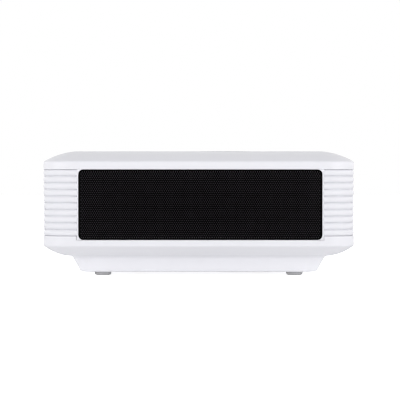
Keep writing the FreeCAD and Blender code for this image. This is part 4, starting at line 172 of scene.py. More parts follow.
def moulded_plastic(name, colour, drift=0.04, rough=(0.3, 0.42), grain=2600.0, ripple=260.0, share=0.5,
                    depth=0.000008, dust=0.1, hollow_shade=0.0, **fixed):
    """A plastic skin; hollows is the painted shade in the low points of its grain, how much darker
    they are made, and fixed holds what is the same all over, such as Coat_Weight."""
    skin, tree, shader = new_material(name)
    surface = use_group(tree, MOULDED_SKIN, Grain=grain, Ripple=ripple, Ripple_Share=share)
    settled = use_group(tree, SETTLED_DUST, Amount=dust)["Dust"]
    tone = tint_between(tree, surface["Drift"], colour, tuple(c * (1 - drift) for c in colour))
    # painted shade: the low points of the grain are made darker in colour
    if hollow_shade:
        raised = ranged(tree, surface["Height"], From_Min=0.42, From_Max=0.56)
        tone = tint_between(tree, raised, tuple(c * (1 - hollow_shade) for c in colour), tone)
    grey = 0.42 if sum(colour) < 1.5 else 0.62  # of the dust, on a dark and on a pale skin
    worn = ranged(tree, surface["Smudge"], From_Min=0.15, From_Max=0.85, To_Min=rough[0], To_Max=rough[1])
    fill(tree, shader, Roughness=math_node(tree, "MULTIPLY_ADD", settled, 0.3, worn),
         Base_Color=tint_between(tree, settled, tone, tuple((c + grey) / 2 for c in colour)), **fixed)
    relief(tree, surface["Height"], depth)
    return skin


def dress(material, *nodes, crease=30.0):
    """Gives solids their finish, and shades them smooth up to creases of so many degrees."""
    for node in nodes:
        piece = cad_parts[node]
        for place in piece.material_slots:
            place.material = material
        for face in piece.data.polygons:
            face.use_smooth = True
        piece.modifiers.new("join", "WELD").merge_threshold = 0.000002
        piece.modifiers.new("creases", "EDGE_SPLIT").split_angle = math.radians(crease)
        piece.modifiers.new("shading", "WEIGHTED_NORMAL").keep_sharp = True


WHITE_ABS = moulded_plastic(
    "white_abs", (0.885, 0.888, 0.915), drift=0.012, rough=(0.30, 0.37), grain=3800.0, ripple=420.0,
    share=0.75, depth=0.000006, dust=0.03, Coat_Weight=0.25, Coat_Roughness=0.1,
)
dress(WHITE_ABS, "top_cover", "ribbed_frame", "bottom_shell")


# ---------------------------------------------------------------- speaker grilles
# A perforated steel sheet in each long side, 0.9 mm thick with 1.2 mm holes in staggered rows, its
# rim rolled back, powder-coated black, and pressed into the seat of the ribbed frame.

GRILLE_FACE = 0.1495  # from the middle of the case to the front of the sheet
GRILLE_DEPTH = 0.0047  # of the sheet with its rolled rim
SHEET = 0.0009  # its thickness
ROLL = 0.0010  # outer radius of the roll
ROLL_FLAT = 0.0002  # flat strip between the holes and the roll
SHEET_CORNER = 0.00375  # corner radius, seen from the front
HOLE_RADIUS = 0.00061
HOLE_SIDES = 8
HOLE_ROWS, HOLE_COLUMNS = 36, 108


def new_object(name, data):
    """An object in the scene that holds a mesh, a light or a camera."""
    thing = bpy.data.objects.new(name, data)
    bpy.context.scene.collection.objects.link(thing)
    return thing


def mesh_piece(name, points, faces, crease=35.0):
    """A piece from its points and faces, smooth up to creases of so many degrees."""
    mesh = bpy.data.meshes.new(name)
    mesh.from_pydata(points, [], faces)
    mesh.validate()
    mesh.shade_smooth()
    mesh.set_sharp_from_angle(angle=math.radians(crease))
    return new_object(name, mesh)


def punched_cell(pitch, row):
    """Points and triangles of one cell of the sheet, a hole in a brick-shaped patch."""
    rim = [(pitch / 2, -row / 2), (pitch / 2, row / 2), (0, row / 2),
           (-pitch / 2, row / 2), (-pitch / 2, -row / 2), (0, -row / 2)]
    rim.sort(key=lambda place: math.atan2(place[1], place[0]) % math.tau)
    rim_turn = [math.atan2(v, u) % math.tau for u, v in rim]
    hole_turn = [math.radians(360 / HOLE_SIDES * (n + 0.5)) for n in range(HOLE_SIDES)]
    hole = [(HOLE_RADIUS * math.cos(turn), HOLE_RADIUS * math.sin(turn)) for turn in hole_turn]
    corners, faces = len(rim), []
    a = b = 0
    while a < corners or b < HOLE_SIDES:
        next_rim = rim_turn[(a + 1) % corners] + (math.tau if a + 1 >= corners else 0)
        next_hole = hole_turn[(b + 1) % HOLE_SIDES] + (math.tau if b + 1 >= HOLE_SIDES else 0)
        if b >= HOLE_SIDES or (a < corners and next_rim < next_hole):
            faces.append((a % corners, (a + 1) % corners, corners + b % HOLE_SIDES))
            a += 1
        else:
            faces.append((a % corners, corners + (b + 1) % HOLE_SIDES, corners + b % HOLE_SIDES))
            b += 1
    return rim + hole, faces


def punched_field(u0, u1, v0, v1):
    """The flat field of holes in staggered rows: points (u, v, depth) and faces."""
    pitch, row = (u1 - u0) / (HOLE_COLUMNS + 0.5), (v1 - v0) / HOLE_ROWS
    cell, front = punched_cell(pitch, row)
    cell, count, first = np.array(cell), len(cell), len(cell) - HOLE_SIDES
    back = [tuple(count + n for n in reversed(face)) for face in front]
    walls = []
    for n in range(HOLE_SIDES):
        a, b = first + n, first + (n + 1) % HOLE_SIDES
        walls.append((a, b, count + b, count + a))
    points, faces = [], []

    def add(outline, new_faces):
        start = len(points)
        points.extend([(u, v, 0.0) for u, v in outline] + [(u, v, SHEET) for u, v in outline])
        faces.extend(tuple(start + n for n in face) for face in new_faces)

    for j in range(HOLE_ROWS):
        shift = pitch / 2 * (j % 2)
        v = v0 + (j + 0.5) * row
        for i in range(HOLE_COLUMNS):
            add(cell + (u0 + shift + (i + 0.5) * pitch, v), front + back + walls)
        u = u0 if j % 2 else u1 - pitch / 2
        below, above = v - row / 2, v + row / 2
        half_cell = [(u, below), (u + pitch / 2, below), (u + pitch / 2, above), (u, above)]
        add(half_cell, [(0, 1, 2, 3), (7, 6, 5, 4)])
    return points, faces


def rim_profile():
    """The rim's section, round the outside and back along the inside: (how far out, how deep)."""
    outside = [math.radians(turn) for turn in range(0, 91, 15)]
    inside = [math.radians(turn) for turn in (90, 45)]
    inner = ROLL - SHEET
    profile = [(0.0, 0.0)]
    profile += [(ROLL_FLAT + ROLL * math.sin(turn), ROLL - ROLL * math.cos(turn)) for turn in outside]
    profile += [(ROLL_FLAT + ROLL, GRILLE_DEPTH), (ROLL_FLAT + ROLL - SHEET, GRILLE_DEPTH)]
    profile += [(ROLL_FLAT + inner * math.sin(turn), ROLL - inner * math.cos(turn)) for turn in inside]
    return profile + [(0.0, SHEET)]


def rolled_rim(u0, u1, v0, v1):
    """The rim, rolled back all round the field of holes: points (u, v, depth) and faces."""
    pitch, row = (u1 - u0) / (HOLE_COLUMNS + 0.5), (v1 - v0) / HOLE_ROWS
    along, across = range(2 * HOLE_COLUMNS + 2), range(1, HOLE_ROWS)
    spokes = [(u0 + n * pitch / 2, v0) for n in along] + [(u1, v0 + n * row) for n in across]
    spokes += [(u1 - n * pitch / 2, v1) for n in along] + [(u0, v1 - n * row) for n in across]
    middle_u, middle_v = (u0 + u1) / 2, (v0 + v1) / 2
    corner = SHEET_CORNER - (ROLL + ROLL_FLAT)  # its radius round the field
    straight_u, straight_v = (u1 - u0) / 2 - corner, (v1 - v0) / 2 - corner

    def outwards(u, v, out):
        """Where the rim is out past the field, on the spoke that starts at (u, v)."""
        if out <= 0:
            return u, v
        du, dv = u - middle_u, v - middle_v
        over_u, over_v = abs(du) - straight_u, abs(dv) - straight_v
        reach = corner + out
        if over_u > 0 and over_v > 0:
            far = math.hypot(over_u, over_v)
            return (middle_u + math.copysign(straight_u + over_u / far * reach, du),
                    middle_v + math.copysign(straight_v + over_v / far * reach, dv))
        if over_v > over_u:
            return u, middle_v + math.copysign(straight_v + reach, dv)
        return middle_u + math.copysign(straight_u + reach, du), v

    profile, count = rim_profile(), len(spokes)
    points = [(*outwards(u, v, out), depth) for out, depth in profile for u, v in spokes]
    faces = []
    for k in range(len(profile) - 1):
        for n in range(count):
            m = (n + 1) % count
            faces.append((k * count + n, (k + 1) * count + n, (k + 1) * count + m, k * count + m))
    return points, faces


def without_doubles(points, faces):
    """The points, each kept once, and the faces on them, less those that shrink to a line."""
    steps_to_metre = 1e7  # points on the same tenth of a micrometre are one
    keys = np.round(np.array(points) * steps_to_metre).astype(np.int64)
    _, first, same = np.unique(keys, axis=0, return_index=True, return_inverse=True)
    same = same.reshape(-1)
    kept = []
    for face in faces:
        corners = [int(same[n]) for n in face]
        corners = [n for k, n in enumerate(corners) if n != corners[k - 1]]
        if len(corners) > 2:
            kept.append(tuple(corners))
    return np.array(points)[first], kept


def perforated_sheet(name, side):
    """The grille of one side: side is 1 for +X and -1 for -X."""
    low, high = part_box("speaker_grille_right")
    rolled = ROLL + ROLL_FLAT
    field = (low.y + rolled, high.y - rolled, low.z + rolled, high.z - rolled)
    points, faces = punched_field(*field)
    rim_points, rim_faces = rolled_rim(*field)
    faces += [tuple(len(points) + n for n in face) for face in rim_faces]
    sheet, faces = without_doubles(points + rim_points, faces)
    if side < 0:
        faces = [tuple(reversed(face)) for face in faces]
    placed = [(side * (GRILLE_FACE - depth), u, v) for u, v, depth in sheet]
    return mesh_piece(name, placed, faces, crease=50.0)


def acoustic_cloth(name, side):
    """Black woven cloth drawn tight over the back of the sheet, slightly full between its edges; this dark
    sheet also stands in for the shade inside the case. Also gives the size that it was cut to."""
    low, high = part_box("speaker_grille_right")
    edge = ROLL + ROLL_FLAT + 0.0003  # clear of the rolled rim
    u0, u1, v0, v1 = low.y + edge, high.y - edge, low.z + edge, high.z - edge
    thick, clear, fullness = 0.00035, 0.0002, 0.0005  # clear is the gap behind the sheet
    columns, rows = 48, 16
    points = []
    for layer in (0, thick):
        for j in range(rows + 1):
            for i in range(columns + 1):
                a, b = i / columns, j / rows
                sag = fullness * math.sin(math.pi * a) ** 0.5 * math.sin(math.pi * b) ** 0.5
                depth = SHEET + clear + sag + layer
                points.append((side * (GRILLE_FACE - depth), u0 + (u1 - u0) * a, v0 + (v1 - v0) * b))
    count, across = (rows + 1) * (columns + 1), columns + 1
    faces = []
    for j in range(rows):
        for i in range(columns):
            n = j * across + i
            faces.append((n, n + 1, n + 1 + across, n + across))
            faces.append((count + n + across, count + n + 1 + across, count + n + 1, count + n))
    rim = list(range(columns))
    rim += [columns + j * across for j in range(rows)]
    rim += [rows * across + columns - i for i in range(columns)]
    rim += [(rows - j) * across for j in range(rows)]
    for n, one in enumerate(rim):
        after = rim[(n + 1) % len(rim)]
        faces.append((after, one, count + one, count + after))
    if side < 0:
        faces = [tuple(reversed(face)) for face in faces]
    return mesh_piece(name, points, faces), (u1 - u0, v1 - v0)


def weave_with_painted_light():
    """Plain weave of matt black yarn, with painted highlight on its raised crossings."""
    cloth, tree, shader = new_material("black_cloth_with_painted_light")
    at = object_place(tree)
    yarns = []
    for direction in ("Y", "Z"):
        yarn = put(tree, "ShaderNodeTexWave", Vector=at, Scale=780.0, Distortion=0.6, Detail=2.0)
        yarn.bands_direction = direction
        yarns.append(yarn.outputs["Fac"])
    crossing_and_highlight = math_node(tree, "MULTIPLY", *yarns)
    # painted highlight: the raised yarn crossings are made lighter than the black yarn
    fill(tree, shader, Specular_IOR_Level=0.1, Sheen_Weight=0.15,
         Base_Color=tint_between(tree, crossing_and_highlight, (0.026, 0.024, 0.029), (0.215, 0.208, 0.226)),
         Roughness=ranged(tree, crossing_and_highlight, To_Min=0.95, To_Max=0.8))
    relief(tree, crossing_and_highlight, depth=0.00008)
    return cloth


POWDER_COAT = moulded_plastic(
    "black_powder_coat", (0.0028, 0.0027, 0.003), drift=0.2, rough=(0.5, 0.62), grain=5200.0, ripple=1500.0,
    share=0.3, depth=0.00001, dust=0.01, Specular_IOR_Level=0.03,
)
WEAVE_WITH_PAINTED_LIGHT = weave_with_painted_light()
for hand, side in (("right", 1), ("left", -1)):
    grille = perforated_sheet("perforated_grille_" + hand, side)
    grille.data.materials.append(POWDER_COAT)
    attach(grille, "case")
    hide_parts("speaker_grille_" + hand)
    # the dark cloth behind each grille also stands in for the shade inside the case
    cloth, cut = acoustic_cloth("acoustic_cloth_" + hand, side)
    cloth.data.materials.append(WEAVE_WITH_PAINTED_LIGHT)
    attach(cloth, "case")


# ---------------------------------------------------------------- loudspeakers
# One shallow driver behind each grille: a pressed steel basket with its magnet, and a coated paper
# cone with a rubber roll round it and a dust cap, glued into the basket.

def stretched_streaks_group():
    """Fine parallel marks of drawing, rolling or brushing, along one axis of the piece."""
    tree, takes, gives = new_group(
        "drawn_streaks",
        {"Stretch": ("Vector", (1.0, 1.0, 1.0)), "Fineness": ("Float", 900.0)},
        {"Height": "Float", "Tone": "Float"},
    )
    at = object_place(tree)
    stretched = tree.nodes.new("ShaderNodeVectorMath")
    stretched.operation = "MULTIPLY"
    tree.links.new(at, stretched.inputs[0])
    tree.links.new(takes["Stretch"], stretched.inputs[1])
    streak = noise(tree, stretched.outputs[0], Scale=takes["Fineness"], Detail=5.0, Roughness=0.65)
    fill(tree, gives, Height=streak, Tone=noise(tree, at, Scale=60.0, Detail=3.0))
    return tree


DRAWN_STREAKS = stretched_streaks_group()


def drawn_metal(name, colour, rough=(0.25, 0.4), stretch=(1.0, 1.0, 1.0), fineness=900.0, depth=0.000006,
                drift=0.12):
    """A metal with the marks of its making, drawn out along the axes where stretch is small."""
    metal, tree, shader = new_material(name)
    marks = use_group(tree, DRAWN_STREAKS, Stretch=stretch, Fineness=fineness)
    worn = ranged(tree, marks["Height"], From_Min=0.3, From_Max=0.7, To_Min=rough[0], To_Max=rough[1])
    darker = tuple(c * (1 - drift) for c in colour)
    fill(tree, shader, Metallic=1.0, Roughness=worn,
         Base_Color=tint_between(tree, marks["Tone"], colour, darker))
    relief(tree, marks["Height"], depth)
    return metal


def middle_of(node):
    """The middle of a node's box."""
    low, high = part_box(node)
    return (low + high) / 2


def cone_paper():
    """Coated paper with fibres; past the cone's edge it is a smoother rubber roll."""
    paper, tree, shader = new_material("cone_paper")
    at, middle = object_place(tree), middle_of("speaker_cones")
    place = put(tree, "ShaderNodeSeparateXYZ", Vector=at).outputs
    y = math_node(tree, "SUBTRACT", place["Y"], middle.y)
    z = math_node(tree, "SUBTRACT", place["Z"], middle.z)
    squares = (math_node(tree, "MULTIPLY", y, y), math_node(tree, "MULTIPLY", z, z))
    radius = math_node(tree, "SQRT", math_node(tree, "ADD", *squares))
    roll = ranged(tree, radius, From_Min=0.0186, From_Max=0.0190, To_Min=0.0, To_Max=1.0)
    fibre = noise(tree, at, Scale=1500.0, Detail=8.0, Roughness=0.75, Distortion=1.2)
    pulp = tint_between(tree, fibre, (0.06, 0.058, 0.055), (0.018, 0.018, 0.018))
    fill(tree, shader, Specular_IOR_Level=0.35, Roughness=ranged(tree, roll, To_Min=0.85, To_Max=0.5),
         Base_Color=tint_between(tree, roll, pulp, (0.014, 0.014, 0.015)))
    relief(tree, math_node(tree, "MULTIPLY", fibre, math_node(tree, "SUBTRACT", 1.0, roll)), depth=0.00006)
    return paper


PRESSED_STEEL = drawn_metal("zinc_plated_steel", (0.62, 0.62, 0.63), rough=(0.28, 0.42), fineness=700.0)
dress(PRESSED_STEEL, "speaker_baskets")
dress(cone_paper(), "speaker_cones", crease=40.0)


# ---------------------------------------------------------------- front panel
# A piano-black ABS panel clipped into the front window, with the lens opening, the tray's slot, a
# press key for the tray and an infrared window; a plated ring is pressed round the lens opening.

PIANO_BLACK = moulded_plastic(
    "piano_black_abs", (0.0045, 0.0045, 0.005), drift=0.1, rough=(0.05, 0.11), grain=3000.0, ripple=180.0,
    share=0.9, depth=0.000003, dust=0.01, Specular_IOR_Level=0.24,
)
dress(PIANO_BLACK, "front_fascia", "tray_bezel", "open_close_button")
PLATED_RING = drawn_metal("plated_ring", (0.80, 0.80, 0.82), rough=(0.08, 0.16), fineness=300.0,
                          depth=0.000002, drift=0.04)
dress(PLATED_RING, "lens_trim_ring", crease=50.0)
INFRARED_ACRYLIC = moulded_plastic(
    "infrared_acrylic", (0.030, 0.0035, 0.006), drift=0.3, rough=(0.04, 0.09), ripple=150.0, share=0.9,
    depth=0.000003, dust=0.01, Specular_IOR_Level=0.24,
)
dress(INFRARED_ACRYLIC, "ir_window", crease=50.0)


# ---------------------------------------------------------------- rear panel and sockets
# A black ABS panel with an eroded texture, its slots and grid moulded in. Behind it sit nickel-plated
# digital sockets, two jacks, the figure-eight mains inlet with its plated pins, and a rocker switch.

# its eroded grain carries painted shade, darker in colour at its low points
BLACK_ABS = moulded_plastic(
    "eroded_black_abs", (0.026, 0.026, 0.027), drift=0.3, rough=(0.4, 0.6), grain=2300.0, ripple=1000.0,
    share=0.3, depth=0.00004, dust=0.12, hollow_shade=0.55, Specular_IOR_Level=0.35,
)
dress(BLACK_ABS, "rear_panel", "audio_jacks", "switch_body", "switch_rocker")
NICKEL = drawn_metal("nickel_plated_sheet", (0.72, 0.70, 0.66), rough=(0.16, 0.3), stretch=(1.0, 0.1, 1.0),
                     fineness=1400.0, depth=0.000003, drift=0.08)
dress(NICKEL, "digital_sockets")


def region_group():
    """1 inside an upright box between Low and High, 0 outside."""
    corner = ("Vector", (0.0, 0.0, 0.0))
    tree, takes, gives = new_group("region", {"Low": corner, "High": corner}, {"Mask": "Float"})
    at = object_place(tree)
    depths = []
    for whole, part in ((at, takes["Low"]), (takes["High"], at)):
        gap = tree.nodes.new("ShaderNodeVectorMath")
        gap.operation = "SUBTRACT"
        tree.links.new(whole, gap.inputs[0])
        tree.links.new(part, gap.inputs[1])
        x, y, z = put(tree, "ShaderNodeSeparateXYZ", Vector=gap.outputs[0]).outputs
        depths.append(math_node(tree, "MINIMUM", x, math_node(tree, "MINIMUM", y, z)))
    fill(tree, gives, Mask=math_node(tree, "GREATER_THAN", math_node(tree, "MINIMUM", *depths), 0.0))
    return tree


REGION = region_group()


def region(tree, low, high):
    """A mask that is 1 between two corners, low and high."""
    return use_group(tree, REGION, Low=low, High=high)["Mask"]


def tint_over(tree, mask, colour):
    """Lays a colour over the shader's own, where the mask is 1."""
    base = tree.nodes["Principled BSDF"].inputs["Base Color"]
    tree.links.new(tint_between(tree, mask, base.links[0].from_socket, colour), base)


def inlet_with_pins():
    """The black inlet; the two pins in its pocket are plated."""
    material = BLACK_ABS.copy()
    material.name = "inlet_and_pins"
    tree = material.node_tree
    shader = tree.nodes["Principled BSDF"]
    (low, high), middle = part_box("ac_inlet"), middle_of("ac_inlet")
    pin_spacing, reach = 0.0086, 0.0013  # reach takes in a pin and no more round it
    root, tip = low.y + 0.0035, high.y - 0.0008
    pins = []
    for x in (middle.x - pin_spacing / 2, middle.x + pin_spacing / 2):
        pins.append(region(tree, (x - reach, root, middle.z - reach), (x + reach, tip, middle.z + reach)))
    plated = math_node(tree, "MAXIMUM", *pins)
    tint_over(tree, plated, (0.75, 0.72, 0.66))
    worn = shader.inputs["Roughness"].links[0].from_socket
    smoother = ranged(tree, plated, To_Min=1.0, To_Max=0.4)
    fill(tree, shader, Metallic=plated, Roughness=math_node(tree, "MULTIPLY", worn, smoother))
    return material


dress(inlet_with_pins(), "ac_inlet")


# ---------------------------------------------------------------- printed marks
# Generic marks in pad-printed ink: power on its key, arrowheads on the four-way ring, a ring on the
# middle key, the tray mark on the front key, and the bar and ring of the mains rocker.

def ink(name, colour):
    """Dry ink, a little rougher than the key under it."""
    return moulded_plastic(name, colour, drift=0.1, rough=(0.5, 0.65), grain=6000.0, ripple=2500.0,
                           share=0.4, depth=0.000004, dust=0.02, Specular_IOR_Level=0.4)


def printed_mark(name, ladders, node, body, material, slot, across, up, outwards):
    """Ink laid on a node's face. A ladder is its rungs, pairs of (across, up) places in metres, and
    whether its last rung joins its first. Each place is dropped on the face below it."""
    proud, sunk = 0.00004, 0.00008  # how far the ink stands out of the face and goes into it
    away = 0.5  # where each place starts to drop
    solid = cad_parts[node].data
    tree = BVHTree.FromPolygons([v.co for v in solid.vertices], [tuple(p.vertices) for p in solid.polygons])
    across, up, outwards = Vector(across), Vector(up), Vector(outwards)
    points, faces = [], []
    for rungs, closed in ladders:
        first, count = len(points), len(rungs)
        for place in (end for rung in rungs for end in rung):
            start = across * place[0] + up * place[1] + outwards * away
            hit = tree.ray_cast(start, -outwards)[0]
            points += [tuple(hit + outwards * proud), tuple(hit - outwards * sunk)]
        for n in range(count if closed else count - 1):
            a, b = first + 4 * n, first + 4 * ((n + 1) % count)
            faces += [(a, b, b + 2, a + 2), (a + 1, a + 3, b + 3, b + 1),
                      (a, a + 1, b + 1, b), (a + 2, b + 2, b + 3, a + 3)]
        if not closed:
            last = first + 4 * (count - 1)
            faces += [(first, first + 2, first + 3, first + 1), (last, last + 1, last + 3, last + 2)]
    mark = mesh_piece(name, points, faces)
    if mark.data.polygons[0].normal.dot(outwards) < 0:
        mark.data.flip_normals()
    mark.data.materials.append(material)
    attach(mark, body)


def arc(x, y, radius, width, first, last, steps):
    """A ladder along a circle, all round it or between two angles in degrees."""
    closed = last - first == 360
    edges = (radius - width / 2, radius + width / 2)
    rungs = []
    for n in range(steps):
        turn = math.radians(first + (last - first) * n / (steps if closed else steps - 1))
        rungs.append([(x + r * math.cos(turn), y + r * math.sin(turn)) for r in edges])
    return rungs, closed


def upright(x, *rungs):
    """A ladder that stands at x; a rung is (how far up, half its width)."""
    return [((x - half, place), (x + half, place)) for place, half in rungs], False


def arrowhead(x, y, turn, size):
    """A ladder that is a filled triangle, and points along turn."""
    c, s = math.cos(turn), math.sin(turn)
    rungs = []
    for along, half in ((0.6, 0.02), (-0.4, 0.6)):
        rungs.append([(x + size * (along * c - aside * s), y + size * (along * s + aside * c))
                      for aside in (-half, half)])
    return rungs, False


ON_TOP = {"across": (1, 0, 0), "up": (0, 1, 0), "outwards": (0, 0, 1)}
ON_FRONT = {"across": (1, 0, 0), "up": (0, 0, 1), "outwards": (0, -1, 0)}
ON_REAR = {"across": (1, 0, 0), "up": (0, 0, 1), "outwards": (0, 1, 0)}
GREY_INK = ink("dark_grey_ink", (0.05, 0.05, 0.055))
WHITE_INK = ink("white_ink", (0.7, 0.7, 0.7))
at = middle_of("power_button")
printed_mark(
    "power_mark",
    [arc(at.x, at.y, radius=0.0022, width=0.0005, first=125, last=415, steps=25),
     upright(at.x, (at.y + 0.0012, 0.00025), (at.y + 0.0032, 0.00025))],
    "power_button", body="power_key", material=GREY_INK, slot="black_plastic", **ON_TOP)
at = middle_of("ok_button")
printed_mark(
    "middle_mark", [arc(at.x, at.y, radius=0.0022, width=0.0005, first=0, last=360, steps=32)],
    "ok_button", body="ok_key", material=GREY_INK, slot="black_plastic", **ON_TOP)
ARROW_RADIUS, ARROW_SIZE = 0.0168, 0.0036
for n, way in enumerate(("right", "up", "left", "down")):
    turn = math.radians(90 * n)
    x, y = at.x + ARROW_RADIUS * math.cos(turn), at.y + ARROW_RADIUS * math.sin(turn)
    printed_mark(
        way + "_mark", [arrowhead(x, y, turn, ARROW_SIZE)],
        way + "_button", body=way + "_key", material=GREY_INK, slot="black_plastic", **ON_TOP)
at = middle_of("open_close_button")
printed_mark(
    "tray_mark",
    [upright(at.x, (at.z + 0.0017, 0.00002), (at.z - 0.0004, 0.0019)),
     upright(at.x, (at.z - 0.0010, 0.0019), (at.z - 0.0016, 0.0019))],
    "open_close_button", body="open_close_key", material=WHITE_INK, slot="grey_plastic", **ON_FRONT)
at = middle_of("switch_rocker")
printed_mark(
    "rocker_marks",
    [arc(at.x, at.z - 0.0033, radius=0.0011, width=0.0003, first=0, last=360, steps=24),
     upright(at.x, (at.z + 0.0022, 0.00018), (at.z + 0.0044, 0.00018))],
    "switch_rocker", body="mains_rocker", material=WHITE_INK, slot="grey_plastic", **ON_REAR)


# ---------------------------------------------------------------- keys of the top cover
# Light grey satin ABS keys on stems, held under the cover by their flanges, over a small circuit
# board whose switches return them.

KEY_ABS = moulded_plastic(
    "grey_key_abs", (0.50, 0.51, 0.525), drift=0.03, rough=(0.34, 0.46), grain=3600.0, ripple=600.0,
    share=0.5, depth=0.000006, dust=0.05,
)
dress(KEY_ABS, "ok_button", "power_button", "right_button", "up_button", "left_button", "down_button")


# ---------------------------------------------------------------- feet, inserts and screws
# Grey rubber feet pressed into the base, brass inserts for a bracket, zinc-plated screws, and a
# levelling foot with a rubber pad on a moulded screw.

GREY_RUBBER = moulded_plastic(
    "grey_rubber", (0.64, 0.64, 0.65), drift=0.12, rough=(0.7, 0.85), grain=1800.0, ripple=500.0,
    share=0.3, depth=0.00003, dust=0.3, Specular_IOR_Level=0.3,
)
dress(GREY_RUBBER, "rubber_feet")
BLACK_RUBBER = moulded_plastic(
    "black_rubber", (0.022, 0.022, 0.023), drift=0.2, rough=(0.65, 0.85), grain=2000.0, ripple=500.0,
    share=0.3, depth=0.00003, dust=0.3, Specular_IOR_Level=0.3,
)
dress(BLACK_RUBBER, "foot_pad", "drive_belt")
BRASS = drawn_metal("turned_brass", (0.74, 0.56, 0.27), rough=(0.2, 0.35), stretch=(0.2, 0.2, 3.0),
                    fineness=1600.0, depth=0.000006)
dress(BRASS, "mount_inserts", "motor_pulley")
dress(PRESSED_STEEL, "fixings", "loading_motor", "traverse_motors", "clamp_bridge")


# ---------------------------------------------------------------- lens and light engine
# Glass-filled black nylon carries the optics: a housing, the lens mount, the focus ring and the
# sliding barrel with its coated glasses; inside are two condenser glasses, the panel and the lamp.

NYLON = moulded_plastic(
    "glass_filled_nylon", (0.020, 0.020, 0.021), drift=0.25, rough=(0.45, 0.62), grain=1500.0,
    ripple=420.0, share=0.4, depth=0.00003, dust=0.06, Specular_IOR_Level=0.4,
)
dress(NYLON, "optical_housing", "lens_mount", "focus_ring", "lens_barrel", "foot_screw")


def coated_glass(name, tint, film):
    """Optical glass with a coating of film nanometres and a few wiping marks."""
    glass, tree, shader = new_material(name)
    wipe = noise(tree, object_place(tree), Scale=70.0, Detail=6.0, Roughness=0.65, Distortion=1.5)
    fill(tree, shader, Transmission_Weight=1.0, IOR=1.6, Thin_Film_Thickness=film, Thin_Film_IOR=1.38,
         Base_Color=tint_between(tree, wipe, tint, tuple(c * 0.985 for c in tint)),
         Roughness=ranged(tree, wipe, From_Min=0.5, From_Max=0.8, To_Min=0.0, To_Max=0.03))
    return glass


dress(coated_glass("coated_lens_glass", (0.93, 0.95, 0.99), film=310.0), "lens_elements", crease=50.0)
dress(coated_glass("condenser_glass", (0.96, 0.98, 0.97), film=180.0), "light_lenses", crease=50.0)


def light_baffle():
    """Saw-toothed liner that keeps stray light off the barrel's bore, behind the front glass."""
    middle = middle_of("lens_elements")
    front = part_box("lens_barrel")[0].y + 0.0090  # clear of that glass
    outer, root, tip = 0.0185, 0.0181, 0.0170  # radii of the liner and of its teeth
    widening = 0.00002  # of the bore, from each tooth to the next
    teeth, pitch, sides = 9, 0.0015, 72
    profile = [(outer, front), (tip, front)]
    for n in range(teeth):
        y = front + n * pitch
        profile += [(root, y + pitch / 4), (tip + widening * n, y + pitch)]
    profile += [(outer, front + teeth * pitch)]
    points = []
    for r, y in profile:
        for turn in (math.tau * n / sides for n in range(sides)):
            points.append((middle.x + r * math.cos(turn), y, middle.z + r * math.sin(turn)))
    faces = []
    for k in range(len(profile)):
        here, there = k * sides, (k + 1) % len(profile) * sides
        for n in range(sides):
            m = (n + 1) % sides
            faces.append((here + n, here + m, there + m, there + n))
    return mesh_piece("light_baffle", points, faces)


FLOCK = moulded_plastic(
    "baffle_black", (0.006, 0.006, 0.006), drift=0.3, rough=(0.8, 0.95), grain=4200.0, ripple=900.0,
    share=0.3, depth=0.00004, dust=0.0, Specular_IOR_Level=0.15,
)
baffle = light_baffle()
baffle.data.materials.append(FLOCK)
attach(baffle, "lens")


def coloured_region(metal, low, high, colour):
    """Makes a metal into something coloured between two corners, low and high."""
    tree = metal.node_tree
    face = region(tree, low, high)
    tint_over(tree, face, colour)
    fill(tree, tree.nodes["Principled BSDF"], Metallic=math_node(tree, "SUBTRACT", 1.0, face))
    return metal


def lamp_surface():
    """Milled aluminium plate; the emitter's face in its middle is a yellow phosphor."""
    metal = drawn_metal("lamp_plate_and_emitter", (0.70, 0.71, 0.72), rough=(0.3, 0.45))
    x, y, z = middle_of("lamp_plate").x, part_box("lamp_plate")[0].y, middle_of("lens_elements").z
    reach = 0.0111  # round the emitter's middle
    before, depth = 0.001, 0.00095  # before and behind its face
    return coloured_region(metal, (x - reach, y - before, z - reach), (x + reach, y + depth, z + reach),
                           (0.80, 0.62, 0.10))


dress(lamp_surface(), "lamp_plate")


def panel_surface():
    """Steel frame round the smoky polariser of the picture panel."""
    metal = drawn_metal("picture_panel", (0.58, 0.58, 0.60), rough=(0.22, 0.35), fineness=1100.0)
    low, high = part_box("lcd_panel")
    border = Vector((0.006, -0.01, 0.006))  # the frame's width; the region goes past both of its faces
    return coloured_region(metal, low + border, high - border, (0.02, 0.022, 0.03))


dress(panel_surface(), "lcd_panel")
EXTRUDED = drawn_metal("extruded_aluminium", (0.74, 0.75, 0.76), rough=(0.3, 0.46),
                       stretch=(1.0, 1.0, 0.05), fineness=1300.0, depth=0.00001)
dress(EXTRUDED, "heat_sink")
dress(NYLON, "fan_frame", "fan_rotor")


# ---------------------------------------------------------------- circuit boards
# Glass-fibre boards under green solder mask, with the traces just showing through it, and the parts
# on them: moulded packages, coils and cans.

